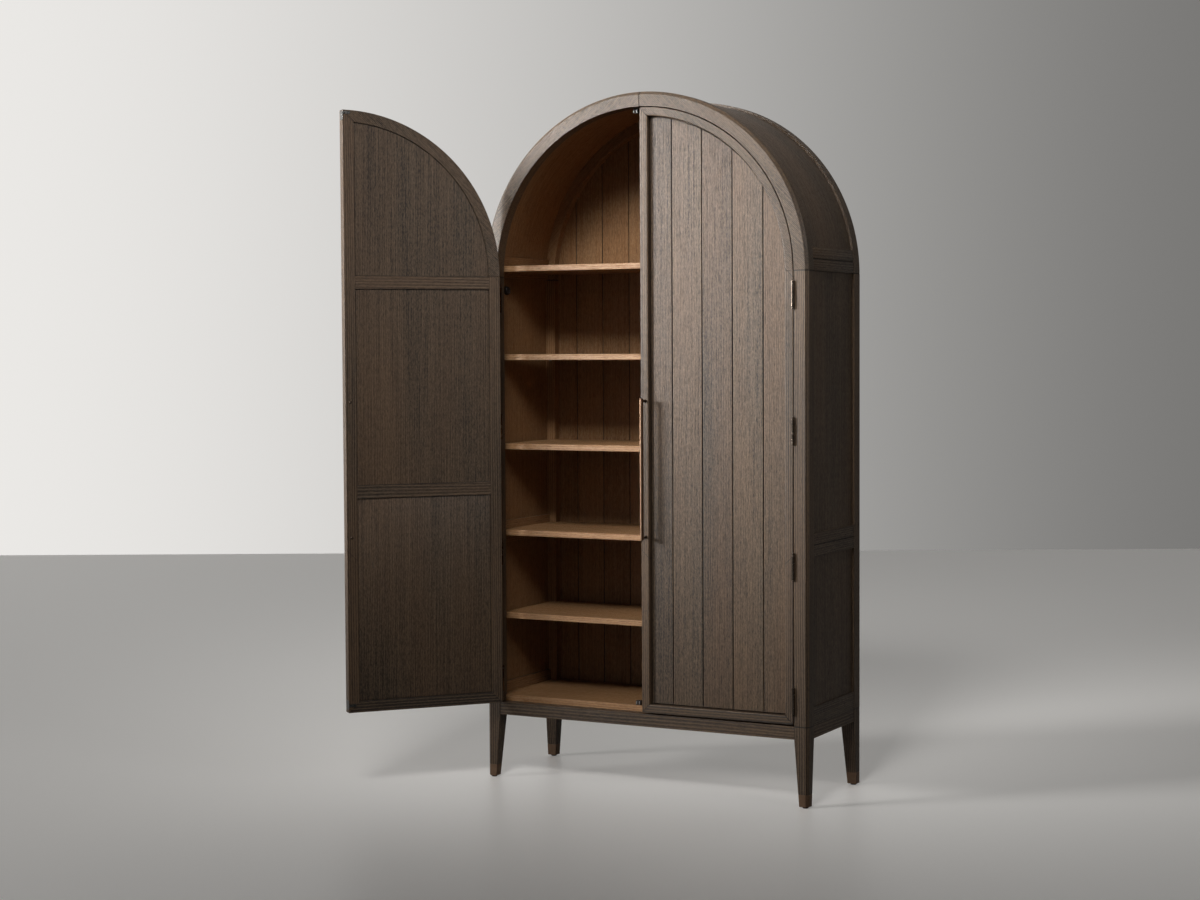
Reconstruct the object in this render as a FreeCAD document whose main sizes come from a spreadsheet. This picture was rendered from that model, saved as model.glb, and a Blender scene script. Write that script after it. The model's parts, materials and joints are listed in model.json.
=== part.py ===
import FreeCAD, Part
import os
import re

import Sketcher

# Arched two-door cabinet. X runs right, Y back and Z up, in millimetres.
# The origin is on the floor, in the middle of the four feet. The left door stands open at rest.

# Each row is a name in the sheet, its size and what it measures.
SIZES = (
    ("case_width", 1220, "outside width of the case"),
    ("case_depth", 460, "outside depth of the case"),
    ("spring_height", 1760, "height where the round arch springs, which is its centre"),
    ("post_width", 50, "width of posts and arches seen from the front"),
    ("post_depth", 50, "depth of posts and arches"),
    ("edge_chamfer", 10, "flat on the outer front edge"),
    ("base_height", 268, "top of the leg frame, where the case sits"),
    ("apron_height", 43, "height of the aprons between the legs"),
    ("apron_thickness", 25, "thickness of the side and rear aprons"),
    ("front_apron_thickness", 48, "thickness of the front apron, which carries the bottom board"),
    ("apron_setback", 1.5, "step from a leg's face back to an apron"),
    ("foot_width", 33, "width of a tapered leg at its lower end"),
    ("foot_depth", 31, "depth of a tapered leg at its lower end"),
    ("ferrule_height", 40, "height of the metal ferrule"),
    ("glide_height", 5, "height of the glide under a ferrule"),
    ("glide_radius", 10, "radius of the glide"),
    ("rail_height", 78, "height of the middle side rail, and the curved one along its arc"),
    ("low_rail_height", 60, "height of the lowest side rail"),
    ("middle_rail_share", 0.3727, "share of the posts' height under the middle side rail"),
    ("rail_thickness", 24, "thickness of the side rails"),
    ("rail_setback", 1, "step from the posts back to the side rails"),
    ("line_width", 4, "width of the groove along a rail"),
    ("line_depth", 2.5, "depth of the groove along a rail"),
    ("panel_thickness", 7, "thickness of the side panels and the curved top"),
    ("panel_recess", 8, "step from the posts back to the panels"),
    ("housing_depth", 8, "depth of the grooves that hold the panels"),
    ("fit_gap", 0.25, "play of a panel or board in its groove"),
    ("dado_depth", 6, "depth of the slots that hold the fixed boards"),
    ("board_thickness", 22, "thickness of the bottom board"),
    ("board_front", 41, "from the front face back to the bottom board"),
    ("shelf_thickness", 20, "thickness of the shelves"),
    ("shelf_play", 2, "play round the shelves"),
    ("shelf_1_rise", 40, "from the spring line up to the top of the fixed upper shelf"),
    ("shelf_2_share", 0.795, "place of the second shelf between the bottom and the upper shelf"),
    ("shelf_3_share", 0.5875, "place of the third shelf between the bottom and the upper shelf"),
    ("shelf_5_share", 0.192, "place of the lowest shelf between the bottom and the upper shelf"),
    ("pin_radius", 3.5, "radius of the shelf pins"),
    ("pin_hold", 12, "how far a shelf pin goes into its post"),
    ("pin_reach", 10, "how far a shelf pin stands out under its shelf"),
    ("pin_inset", 17, "from a post's inner face to its shelf pins"),
    ("pin_play", 0.05, "play of a shelf pin in its hole"),
    ("back_rebate", 12, "width of the rebate that holds the back"),
    ("back_thickness", 12, "thickness of the back"),
    ("back_cover", 6, "from the back's outer face to the rear of the posts"),
    ("back_plank_width", 107.6, "width of a plank of the back"),
    ("door_gap", 3, "gap between a door and its posts and arch"),
    ("centre_gap", 3, "gap between the closed doors"),
    ("sill_gap", 6, "gap under the doors"),
    ("door_thickness", 36, "thickness of the doors"),
    ("frame_face", 29, "width of a door's frame seen from the front"),
    ("frame_lip", 10, "how far the frame's rear lip goes in past its face"),
    ("lip_thickness", 10, "thickness of the rear lip and the cross rails"),
    ("plank_thickness", 10, "thickness of a door's planks"),
    ("plank_width", 110.7, "width of a door's whole planks"),
    ("shadow_gap", 4, "open line between a door's planks and its frame"),
    ("groove_width", 4, "width of the grooves between planks"),
    ("groove_depth", 3, "depth of the grooves between planks"),
    ("cross_rail_height", 44, "height of the cross rails behind the planks"),
    ("cross_rail_share", 0.492, "share of a door's straight height under its lower cross rail"),
    ("lining_thickness", 5, "thickness of the flat panels behind the planks"),
    ("lining_play", 0.3, "play round those panels"),
    ("open_angle", 130, "how far the left door stands open, in degrees"),
    ("hinge_rise", 82, "from the base up to the lowest hinge's middle"),
    ("hinge_drop", 78, "from the spring line down to the highest hinge's middle"),
    ("hinge_height", 90, "height of a hinge"),
    ("hinge_reach", 5.2, "from the front face forward to the hinge axis"),
    ("knuckle_radius", 5, "radius of the hinge knuckles"),
    ("knuckle_gap", 0.4, "gap between knuckles, and from them to the leaves"),
    ("hinge_pin_radius", 2.5, "radius of the hinge pins"),
    ("hinge_pin_play", 0.08, "running play of a hinge pin"),
    ("hinge_pin_tip", 3, "how far a hinge pin stands out at each end"),
    ("leaf_thickness", 2.2, "thickness of the hinge leaves"),
    ("leaf_depth", 30, "how far the hinge leaves go in"),
    ("handle_level", 1102, "height of the handle's middle"),
    ("handle_length", 480, "length of the handle bar"),
    ("handle_width", 8, "width of the handle bar"),
    ("handle_depth", 16, "depth of the handle bar, front to back"),
    ("handle_edge", 1.5, "flats on the handle bar's edges"),
    ("handle_inset", 17.5, "from the door's free edge to the handle's middle"),
    ("handle_stand", 22, "from the door to the back of the handle bar"),
    ("handle_post_radius", 4.5, "radius of the handle's posts"),
    ("handle_post_step", 460, "from one handle post to the other"),
    ("screw_radius", 4.5, "radius of the handle's screw heads"),
    ("screw_head", 2.5, "height of the handle's screw heads"),
    ("strike_width", 26, "width of a strike plate on the door's inner face"),
    ("strike_height", 10, "height of a strike plate on the inner face"),
    ("strike_drop", 30, "height of a strike plate on the door's free edge"),
    ("strike_thickness", 1.5, "thickness of a strike plate"),
    ("strike_inset", 4, "step from a strike plate's end to the door's top or the board"),
    ("strike_setback", 6, "from a door's front face to its strike plate's edge"),
    ("catch_inset", 34, "from the middle of the case to a magnet catch"),
    ("catch_width", 20, "width of a magnet catch"),
    ("catch_height", 16, "height of a magnet catch"),
    ("catch_depth", 12, "depth of a magnet catch"),
    ("catch_gap", 0.5, "gap between a strike plate and its catch"),
    ("catch_play", 0.2, "gap over an upper catch"),
    ("pole_width", 3, "width of a catch's pole plates"),
    ("pole_reach", 3, "how far the pole plates stand out"),
    ("pole_step", 11, "from one pole plate to the other"),
    ("cap_radius", 14.5, "radius of the round cap on the left side"),
    ("cap_height", 12, "height of the round cap"),
    ("cap_drop", 44, "from the spring line down to the round cap's middle"),
    ("cap_inset", 121, "from the front face to the round cap's middle"),
    ("overrun", 20, "how far cuts run past what they cut"),
)

# Sizes that follow from the sheet. A name may stand in a later formula.
FORMULAS = {
    "arch_radius": "case_width / 2",
    "opening": "arch_radius - post_width",
    "rear_face": "case_depth - post_depth",
    "groove_outer": "arch_radius - panel_recess + fit_gap",
    "groove_inner": "arch_radius - panel_recess - panel_thickness - fit_gap",
    "panel_outer": "arch_radius - panel_recess",
    "panel_inner": "arch_radius - panel_recess - panel_thickness",
    "panel_hold": "housing_depth - fit_gap",
    "rail_outer": "arch_radius - rail_setback",
    "rail_inner": "arch_radius - rail_setback - rail_thickness",
    "low_rail_top": "base_height + low_rail_height",
    "middle_rail_level": "base_height + middle_rail_share * (spring_height - base_height)",
    "middle_rail_top": "middle_rail_level + rail_height",
    "curved_rail_angle": "rail_height / arch_radius * 180 / pi",
    "foot_level": "ferrule_height + glide_height",
    "apron_level": "base_height - apron_height",
    "back_face": "case_depth - back_cover - back_thickness",
    "back_radius": "opening + back_rebate - fit_gap",
    "board_top": "base_height + board_thickness",
    "board_end": "rail_inner + dado_depth - fit_gap",
    "shelf_1_top": "spring_height + shelf_1_rise",
    "shelf_2_top": "board_top + shelf_2_share * (shelf_1_top - board_top)",
    "shelf_3_top": "board_top + shelf_3_share * (shelf_1_top - board_top)",
    "shelf_4_top": "(middle_rail_level + middle_rail_top + shelf_thickness) / 2",
    "shelf_5_top": "board_top + shelf_5_share * (shelf_1_top - board_top)",
    "hinge_low": "base_height + hinge_rise",
    "hinge_step": "(spring_height - hinge_drop - hinge_low) / 3",
    "hinge_x": "opening - door_gap / 2",
    "hinge_y": "0 - hinge_reach",
    "knuckle_height": "(hinge_height - 4 * knuckle_gap) / 5",
    "door_foot": "base_height + sill_gap",
    "door_radius": "opening - door_gap",
    "door_near": "centre_gap / 2",
    "frame_width": "frame_face + frame_lip",
    "lip_front": "door_thickness - lip_thickness",
    "plank_front": "lip_front - plank_thickness",
    "plank_low": "door_foot + frame_face + shadow_gap",
    "plank_near": "door_near + frame_face + shadow_gap",
    "plank_radius": "door_radius - frame_face - shadow_gap",
    "lining_low": "door_foot + frame_width + lining_play",
    "lining_near": "door_near + frame_width + lining_play",
    "lining_radius": "door_radius - frame_width - lining_play",
    "upper_cross_level": "spring_height - cross_rail_height",
    "cross_rail_level": "door_foot + cross_rail_share * (spring_height - door_foot)",
    "mitre_x": "door_near + frame_width",
    "mitre_drop": "door_top - mitre_z",
    "door_top": "spring_height + sqrt(door_radius ^ 2 - door_near ^ 2)",
    "mitre_z": "spring_height + sqrt((door_radius - frame_width) ^ 2 - mitre_x ^ 2)",
    "handle_x": "door_near + handle_inset",
    "catch_front": "door_thickness + strike_thickness + catch_gap + pole_reach",
}

doc = FreeCAD.newDocument("ArchedCabinet")
sheet = doc.addObject("Spreadsheet::Sheet", "Sizes")
for row, (name, size, meaning) in enumerate(SIZES, 1):
    sheet.set("A%d" % row, name)
    sheet.set("B%d" % row, str(size))
    sheet.set("C%d" % row, meaning)
    sheet.setAlias("B%d" % row, name)
doc.recompute()

ALIASES = {name for name, size, meaning in SIZES}


def spelled_out(text, prefix):
    """The expression with its formulas spelled out and the sheet's names prefixed."""

    def swap(match):
        word = match.group(0)
        if word in FORMULAS:
            return "(" + spelled_out(FORMULAS[word], prefix) + ")"
        return prefix + word if word in ALIASES else word

    return re.sub(r"[a-z]\w*", swap, text)


def bound(text):
    """The expression as a document object reads it."""
    return spelled_out(text, "Sizes.")


def value(text):
    """The expression's present value."""
    return float(sheet.evalExpression(spelled_out(text, "")))


def bind(thing, **expressions):
    """Ties properties of a document object to expressions over the sheet."""
    for name, text in expressions.items():
        thing.setExpression(name.replace("__", "."), bound(text))


# Sketches. An edge's start, end and centre are 1, 2 and 3, and the axes are -1 and -2.


def place_point(sketch, geometry, end, across, up):
    """Ties a point's two coordinates to expressions; None leaves one free."""
    for kind, axis, text in (("DistanceX", -2, across), ("DistanceY", -1, up)):
        if text is None:
            continue
        if text == "0":
            sketch.addConstraint(Sketcher.Constraint("PointOnObject", geometry, end, axis))
            continue
        made = sketch.addConstraint(Sketcher.Constraint(kind, -1, 1, geometry, end, value(text)))
        label = "%s_%d_%d" % (kind, geometry, end)
        sketch.renameConstraint(made, label)
        sketch.setExpression("Constraints." + label, bound(text))


def new_sketch(body, plane, level):
    """An empty sketch on one of the body's own planes, moved along that plane's axis."""
    sketch = body.newObject("Sketcher::SketchObject", "outline")
    base = [f for f in body.Origin.OriginFeatures if f.Role == plane + "_Plane"][0]
    sketch.AttachmentSupport = [(base, "")]
    sketch.MapMode = "FlatFace"
    toward = "0 - (%s)" % level if plane == "XZ" else level
    sketch.setExpression("AttachmentOffset.Base.z", bound(toward))
    return sketch


def polygon(sketch, corners):
    """A closed outline of straight edges through the corners."""
    points = [FreeCAD.Vector(value(a), value(b), 0) for a, b in corners]
    first = sketch.GeometryCount
    count = len(points)
    for i in range(count):
        sketch.addGeometry(Part.LineSegment(points[i], points[(i + 1) % count]), False)
    for i in range(count):
        following = first + (i + 1) % count
        sketch.addConstraint(Sketcher.Constraint("Coincident", first + i, 2, following, 1))
    for i, (across, up) in enumerate(corners):
        place_point(sketch, first + i, 1, across, up)


def arched(sketch, near, far, low, centre, radius):
    """An outline with upright sides, a level foot and a round top about (0, centre).

    near and far are its sides, low its foot, and radius that of the top."""
    x0, x1, z0, zc, r = (value(text) for text in (near, far, low, centre, radius))
    z_near = zc + (r * r - x0 * x0) ** 0.5
    z_far = zc + (r * r - x1 * x1) ** 0.5
    foot_near = FreeCAD.Vector(x0, z0, 0)
    foot_far = FreeCAD.Vector(x1, z0, 0)
    top_near = FreeCAD.Vector(x0, z_near, 0)
    top_far = FreeCAD.Vector(x1, z_far, 0)
    middle = FreeCAD.Vector(0, zc, 0)
    round_top = Part.Circle(middle, FreeCAD.Vector(0, 0, 1), r)
    arc = Part.ArcOfCircle(round_top, round_top.parameter(top_far), round_top.parameter(top_near))
    sketch.addGeometry(Part.LineSegment(foot_near, foot_far), False)
    sketch.addGeometry(Part.LineSegment(foot_far, top_far), False)
    sketch.addGeometry(arc, False)
    sketch.addGeometry(Part.LineSegment(top_near, foot_near), False)
    for edge in range(4):
        sketch.addConstraint(Sketcher.Constraint("Coincident", edge, 2, (edge + 1) % 4, 1))
    place_point(sketch, 0, 1, near, low)
    place_point(sketch, 1, 1, far, low)
    place_point(sketch, 2, 3, "0", centre)
    size = sketch.addConstraint(Sketcher.Constraint("Radius", 2, r))
    sketch.renameConstraint(size, "round_top")
    sketch.setExpression("Constraints.round_top", bound(radius))
    for edge, end, side in ((1, 2, far), (3, 1, near)):
        steep = abs(value(side)) > r / 2
        rise = "(%s) + sqrt(abs((%s) ^ 2 - (%s) ^ 2))" % (centre, radius, side)
        place_point(sketch, edge, end, None if steep else side, rise if steep else None)


def rounded(sketch, across, up, radius, flats=12):
    """A small round outline made of flats, whose corners lie on the radius."""
    corners = []
    for number in range(flats):
        turn = "%d * 180 / %d" % (2 * number + 1, flats)
        x = "(%s) + (%s) * cos(%s)" % (across, radius, turn)
        y = "(%s) + (%s) * sin(%s)" % (up, radius, turn)
        corners.append((x, y))
    polygon(sketch, corners)


def clear_of(radius, flats=12):
    """The corner radius of a hole made of flats that clear a round of this radius."""
    return "(%s) / cos(180 / %d)" % (radius, flats)


# Features


def new_body(label):
    """A body drawn from the case's front face, and placed so that the case is centred."""
    body = doc.addObject("PartDesign::Body", "piece")
    body.Label = label
    bind(body, Placement__Base__y="0 - case_depth / 2")
    return body


def grow(body, sketch, plane, length):
    """Pads the sketch along its plane's positive axis."""
    pad = body.newObject("PartDesign::Pad", "pad")
    pad.Profile = sketch
    pad.Reversed = plane == "XZ"
    bind(pad, Length=length)
    sketch.Visibility = False
    return pad


def cut(body, sketch, plane, length):
    """Pockets the sketch along its plane's positive axis."""
    pocket = body.newObject("PartDesign::Pocket", "cut")
    pocket.Profile = sketch
    pocket.Reversed = plane != "XZ"
    bind(pocket, Length=length)
    return pocket


def prism(body, plane, corners, level, length):
    """A straight-edged outline, padded from level over length."""
    sketch = new_sketch(body, plane, level)
    polygon(sketch, corners)
    return grow(body, sketch, plane, length)


def notch(body, plane, corners, level, length):
    """A straight-edged outline, cut away from level over length."""
    sketch = new_sketch(body, plane, level)
    polygon(sketch, corners)
    return cut(body, sketch, plane, length)


def through(body, corners):
    """Cuts an outline in X and Z along the whole depth of the case."""
    return notch(body, "XZ", corners, "0", "case_depth")


def rectangle(x0, x1, y0, y1):
    """The corners of a rectangle."""
    return ((x0, y0), (x1, y0), (x1, y1), (x0, y1))


def swing(body, corners, angle):
    """Turns a section in X and Y about the arch's axis, from level upwards."""
    sketch = new_sketch(body, "XY", "0")
    polygon(sketch, corners)
    turn = body.newObject("PartDesign::Revolution", "turn")
    turn.Profile = sketch
    turn.ReferenceAxis = (sketch, ["V_Axis"])
    turn.Reversed = True
    bind(turn, Angle=angle)
    bind(body, Placement__Base__z="spring_height")
    return turn


def repeated(body, feature, axis, length, count):
    """Repeats a feature in a line along one of the body's own axes."""
    pattern = body.newObject("PartDesign::LinearPattern", "row")
    pattern.Originals = [feature]
    line = [f for f in body.Origin.OriginFeatures if f.Role == axis + "_Axis"][0]
    pattern.Direction = (line, [""])
    pattern.Occurrences = count
    bind(pattern, Length=length)
    body.Tip = pattern
    return pattern


def block(label, x0, x1, y0, y1, z0, z1):
    """A plain box, by its faces' places from the case's front face."""
    box = doc.addObject("Part::Box", "box")
    box.Label = label
    bind(
        box,
        Length="(%s) - (%s)" % (x1, x0),
        Width="(%s) - (%s)" % (y1, y0),
        Height="(%s) - (%s)" % (z1, z0),
        Placement__Base__x=x0,
        Placement__Base__y="(%s) - case_depth / 2" % y0,
        Placement__Base__z=z0,
    )
    return box


def rod(label, x, y, z, radius, length):
    """A rod along Y with twelve flats, by the place of its front end."""
    made = doc.addObject("Part::Prism", "rod")
    made.Label = label
    made.Polygon = 12
    turned = FreeCAD.Rotation(FreeCAD.Vector(1, 0, 0), -90)
    made.Placement.Rotation = turned * FreeCAD.Rotation(FreeCAD.Vector(0, 0, 1), 15)
    bind(
        made,
        Circumradius=radius,
        Height=length,
        Placement__Base__x=x,
        Placement__Base__y="(%s) - case_depth / 2" % y,
        Placement__Base__z=z,
    )
    return made


def group(label, members):
    """Like pieces that share one node."""
    made = doc.addObject("Part::Compound", "group")
    made.Label = label
    made.Links = members
    return made


def mirrored(label, source, normal=FreeCAD.Vector(1, 0, 0)):
    """The same piece on the other side of the case."""
    made = doc.addObject("Part::Mirroring", "mirror")
    made.Label = label
    made.Source = source
    made.Normal = normal
    return made


def pair(build, *names):
    """Builds a piece for the right side and mirrors it for the left."""
    stem = names[0]
    right = build(stem + "_right")
    return [right, mirrored(stem + "_left", right)]


# Posts and arches


def front_section():
    """A front post's section: chamfered outer edge, and the panel's groove behind."""
    return (
        ("opening", "0"),
        ("arch_radius - edge_chamfer", "0"),
        ("arch_radius", "edge_chamfer"),
        ("arch_radius", "post_depth"),
        ("groove_outer", "post_depth"),
        ("groove_outer", "post_depth - housing_depth"),
        ("groove_inner", "post_depth - housing_depth"),
        ("groove_inner", "post_depth"),
        ("opening", "post_depth"),
    )


def rear_section():
    """A rear post's section: the panel's groove in front, and the back's rebate behind."""
    return (
        ("opening", "rear_face"),
        ("groove_inner", "rear_face"),
        ("groove_inner", "rear_face + housing_depth"),
        ("groove_outer", "rear_face + housing_depth"),
        ("groove_outer", "rear_face"),
        ("arch_radius", "rear_face"),
        ("arch_radius", "case_depth"),
        ("opening + back_rebate", "case_depth"),
        ("opening + back_rebate", "back_face"),
        ("opening", "back_face"),
    )


def pin_levels():
    """Heights of the pins under the shelves that can be moved."""
    return ["shelf_%d_top - shelf_thickness - pin_radius" % n for n in (2, 3, 5)]


def pin_holes(body, level):
    """Blind holes for the shelf pins, cut backwards from a level."""
    sketch = new_sketch(body, "XZ", level)
    for height in pin_levels():
        rounded(sketch, "opening + pin_inset", height, clear_of("pin_radius + pin_play"))
    cut(body, sketch, "XZ", "pin_hold")


def front_post(label):
    """A front post with its hinge mortises and pin holes."""
    body = new_body(label)
    prism(body, "XY", front_section(), "base_height", "spring_height - base_height")
    pin_holes(body, "post_depth - pin_hold")
    leaf = rectangle(
        "0 - overrun",
        "leaf_depth",
        "hinge_low - hinge_height / 2",
        "hinge_low + hinge_height / 2",
    )
    mortise = notch(body, "YZ", leaf, "opening - overrun", "overrun + leaf_thickness")
    repeated(body, mortise, "Z", "3 * hinge_step", 4)
    return body


def rear_post(label):
    """A rear post with its pin holes."""
    body = new_body(label)
    prism(body, "XY", rear_section(), "base_height", "spring_height - base_height")
    pin_holes(body, "rear_face")
    return body


def front_arch(label):
    """Half of the front arch, a post's section turned a quarter circle."""
    body = new_body(label)
    swing(body, front_section(), "90")
    return body


def rear_arch(label):
    """Half of the rear arch."""
    body = new_body(label)
    swing(body, rear_section(), "90")
    return body


# Leg frame


def leg_piece(label, front, low, high):
    """A stretch of a leg from low to high: upright outside, and tapered inside below the aprons."""
    body = new_body(label)
    if front:
        section = (
            ("opening", "0"),
            ("arch_radius - edge_chamfer", "0"),
            ("arch_radius", "edge_chamfer"),
            ("arch_radius", "post_depth"),
            ("opening", "post_depth"),
        )
    else:
        section = rectangle("opening", "arch_radius", "rear_face", "case_depth")
    prism(body, "XY", section, low, "%s - (%s)" % (high, low))
    inner = (
        ("opening", "apron_level"),
        ("opening", "glide_height"),
        ("arch_radius - foot_width", "glide_height"),
    )
    through(body, inner)
    if front:
        behind = (
            ("post_depth", "apron_level"),
            ("post_depth", "glide_height"),
            ("foot_depth", "glide_height"),
        )
    else:
        behind = (
            ("rear_face", "apron_level"),
            ("rear_face", "glide_height"),
            ("case_depth - foot_depth", "glide_height"),
        )
    notch(body, "YZ", behind, "opening - overrun", "post_width + 2 * overrun")
    return body


def glide(label, front):
    """The round glide under a ferrule."""
    body = new_body(label)
    sketch = new_sketch(body, "XY", "0")
    middle = "foot_depth / 2" if front else "case_depth - foot_depth / 2"
    rounded(sketch, "arch_radius - foot_width / 2", middle, "glide_radius")
    grow(body, sketch, "XY", "glide_height")
    return body


def leg_frame():
    """Four legs with ferrules and glides, and the aprons between them."""
    made = []
    shoes = []
    glides = []
    for place, front in (("front", True), ("rear", False)):
        right = leg_piece("leg_%s_right" % place, front, "foot_level", "base_height")
        made += [right, mirrored("leg_%s_left" % place, right)]
        shoe = leg_piece("ferrule_" + place, front, "glide_height", "foot_level")
        shoes += [shoe, mirrored("ferrule_%s_left" % place, shoe)]
        foot = glide("glide_" + place, front)
        glides += [foot, mirrored("glide_%s_left" % place, foot)]
    made += [group("ferrules", shoes), group("glides", glides)]
    side = ("0 - opening", "opening")
    ends = ("post_depth", "rear_face")
    levels = ("apron_level", "base_height")
    front_apron = ("apron_setback", "apron_setback + front_apron_thickness")
    rear_apron = (
        "case_depth - apron_setback - apron_thickness",
        "case_depth - apron_setback",
    )
    side_apron = (
        "arch_radius - apron_setback - apron_thickness",
        "arch_radius - apron_setback",
    )
    made.append(block("apron_front", *side, *front_apron, *levels))
    made.append(block("apron_rear", *side, *rear_apron, *levels))
    right = block("apron_right", *side_apron, *ends, *levels)
    return made + [right, mirrored("apron_left", right)]


# Sides and top


def rail_line(level):
    """The groove along a rail's outer face, about a level."""
    return (
        ("rail_outer", "(%s) - line_width / 2" % level),
        ("rail_outer", "(%s) + line_width / 2" % level),
        ("rail_outer - line_depth", level),
    )


def straight_rail(label, low, high):
    """A side rail between the posts, by its lower and upper edges."""
    body = new_body(label)
    face = rectangle("rail_inner", "rail_outer", low, high)
    prism(body, "XZ", face, "post_depth", "rear_face - post_depth")
    groove = rectangle("groove_inner", "groove_outer", "(%s) - housing_depth" % high, high)
    through(body, groove)
    return body


def low_rail(label):
    """The lowest side rail, slotted for the bottom board."""
    body = straight_rail(label, "base_height", "low_rail_top")
    slot = rectangle(
        "rail_inner - overrun", "rail_inner + dado_depth", "base_height", "board_top + fit_gap"
    )
    through(body, slot)
    return body


def shelf_slot(body, top, down):
    """The slot in a rail for a fixed shelf. down lowers it to the body's own level."""
    through(
        body,
        rectangle(
            "rail_inner - overrun",
            "rail_inner + dado_depth",
            "%s - shelf_thickness - fit_gap%s" % (top, down),
            "%s + fit_gap%s" % (top, down),
        ),
    )


def middle_rail(label):
    """The middle side rail, with its line, panel grooves and shelf slot."""
    body = straight_rail(label, "middle_rail_level", "middle_rail_top")
    under = rectangle(
        "groove_inner", "groove_outer", "middle_rail_level", "middle_rail_level + housing_depth"
    )
    through(body, under)
    shelf_slot(body, "shelf_4_top", "")
    through(body, rail_line("(middle_rail_level + middle_rail_top) / 2"))
    return body


def curved_rail(label):
    """The rail at the spring of the arch, which follows the arch."""
    body = new_body(label)
    swing(
        body,
        rectangle("rail_inner", "rail_outer", "post_depth", "rear_face"),
        "curved_rail_angle",
    )
    through(body, rectangle("groove_inner", "groove_outer", "0", "housing_depth"))
    shelf_slot(body, "shelf_1_top", " - spring_height")
    middle = "curved_rail_angle / 2"
    spread = "line_width / 2 / rail_outer * 180 / pi"
    line = []
    for radius, angle in (
        ("rail_outer", "%s - %s" % (middle, spread)),
        ("rail_outer + line_depth", middle),
        ("rail_outer", "%s + %s" % (middle, spread)),
        ("rail_outer - line_depth", middle),
    ):
        line.append(("(%s) * cos(%s)" % (radius, angle), "(%s) * sin(%s)" % (radius, angle)))
    through(body, line)
    return body


def side_rails(label):
    """The three rails of one side."""
    return group(
        label,
        [low_rail(label + "_low"), middle_rail(label + "_middle"), curved_rail(label + "_curved")],
    )


def side_panels(label):
    """The two flat panels of one side, held in the posts' and rails' grooves."""
    across = ("panel_inner", "panel_outer")
    along = ("post_depth - panel_hold", "rear_face + panel_hold")
    lower = ("low_rail_top - panel_hold", "middle_rail_level + panel_hold")
    upper = ("middle_rail_top - panel_hold", "spring_height + panel_hold")
    return group(
        label,
        [
            block(label + "_lower", *across, *along, *lower),
            block(label + "_upper", *across, *along, *upper),
        ],
    )


def roof_panel():
    """The curved top, bent over the grooves of both arches from rail to rail."""
    body = new_body("roof_panel")
    section = rectangle(
        "panel_inner", "panel_outer", "post_depth - panel_hold", "rear_face + panel_hold"
    )
    swing(body, section, "180 - 2 * curved_rail_angle")
    body.Placement.Rotation = FreeCAD.Rotation(FreeCAD.Vector(0, -1, 0), 1)
    bind(body, Placement__Rotation__Angle="curved_rail_angle")
    return body


# Back, bottom and shelves


def back_planks():
    """The back, an arched board with a groove between each two planks."""
    body = new_body("back_planks")
    sketch = new_sketch(body, "XZ", "back_face")
    arched(sketch, "0 - back_radius", "back_radius", "base_height", "spring_height", "back_radius")
    grow(body, sketch, "XZ", "back_thickness")
    groove = (
        ("0 - 4.5 * back_plank_width - groove_width / 2", "back_face"),
        ("0 - 4.5 * back_plank_width + groove_width / 2", "back_face"),
        ("0 - 4.5 * back_plank_width", "back_face + groove_depth"),
    )
    first = notch(body, "XY", groove, "0", "spring_height + arch_radius")
    repeated(body, first, "X", "9 * back_plank_width", 10)
    return body


def board_outline(front, end, notched, play):
    """A board's outline between the sides, stepped in round the rear posts."""
    left_end = "0 - (%s)" % end
    left_notched = "0 - (%s)" % notched
    side = "post_depth + " + play
    rear = "rear_face - " + play
    back = "back_face - " + play
    outline = [
        (end, side),
        (end, rear),
        (notched, rear),
        (notched, back),
        (left_notched, back),
        (left_notched, rear),
        (left_end, rear),
        (left_end, side),
    ]
    if front:
        outline += [(left_notched, side), (left_notched, front), (notched, front), (notched, side)]
    return outline


def bottom_board():
    """The bottom board, slotted into the low rails and stepped round all four posts."""
    body = new_body("bottom_board")
    outline = board_outline("board_front", "board_end", "opening - fit_gap", "fit_gap")
    prism(body, "XY", outline, "base_height", "board_thickness")
    return body


def shelf(number, fixed):
    """A shelf behind the front posts, fixed in the rails or laid on pins."""
    top = "shelf_%d_top" % number
    end = "board_end" if fixed else "rail_inner - shelf_play"
    notched = "opening - shelf_play"
    if number == 1:
        notched = "sqrt(opening ^ 2 - (shelf_1_top - spring_height) ^ 2) - shelf_play"
    body = new_body("shelf_%d" % number)
    outline = board_outline(None, end, notched, "shelf_play")
    prism(body, "XY", outline, top + " - shelf_thickness", "shelf_thickness")
    return body


def shelf_pins():
    """Four pins under each shelf that can be moved."""
    pins = []
    for height in pin_levels():
        for side in ("", "0 - "):
            x = "%s(opening + pin_inset)" % side
            for front in ("post_depth - pin_hold", "rear_face - pin_reach"):
                pins.append(rod("shelf_pin", x, front, height, "pin_radius", "pin_hold + pin_reach"))
    return group("shelf_pins", pins)


# Hinges


def comb(own):
    """A hinge leaf's outline in Y and Z, with a tab at each of its own knuckles."""
    step = "(knuckle_height + knuckle_gap)"
    flush = "knuckle_gap"
    outline = [
        (flush, "0"),
        ("leaf_depth", "0"),
        ("leaf_depth", "hinge_height"),
        (flush, "hinge_height"),
    ]
    for knuckle in reversed(own):
        low = "%d * %s" % (knuckle, step) if knuckle else "0"
        high = "%d * %s + knuckle_height" % (knuckle, step)
        ends = [("hinge_y", high), ("hinge_y", low)]
        if knuckle < 4:
            ends.insert(0, (flush, high))
        if knuckle > 0:
            ends.append((flush, low))
        outline += ends
    return outline


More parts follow.
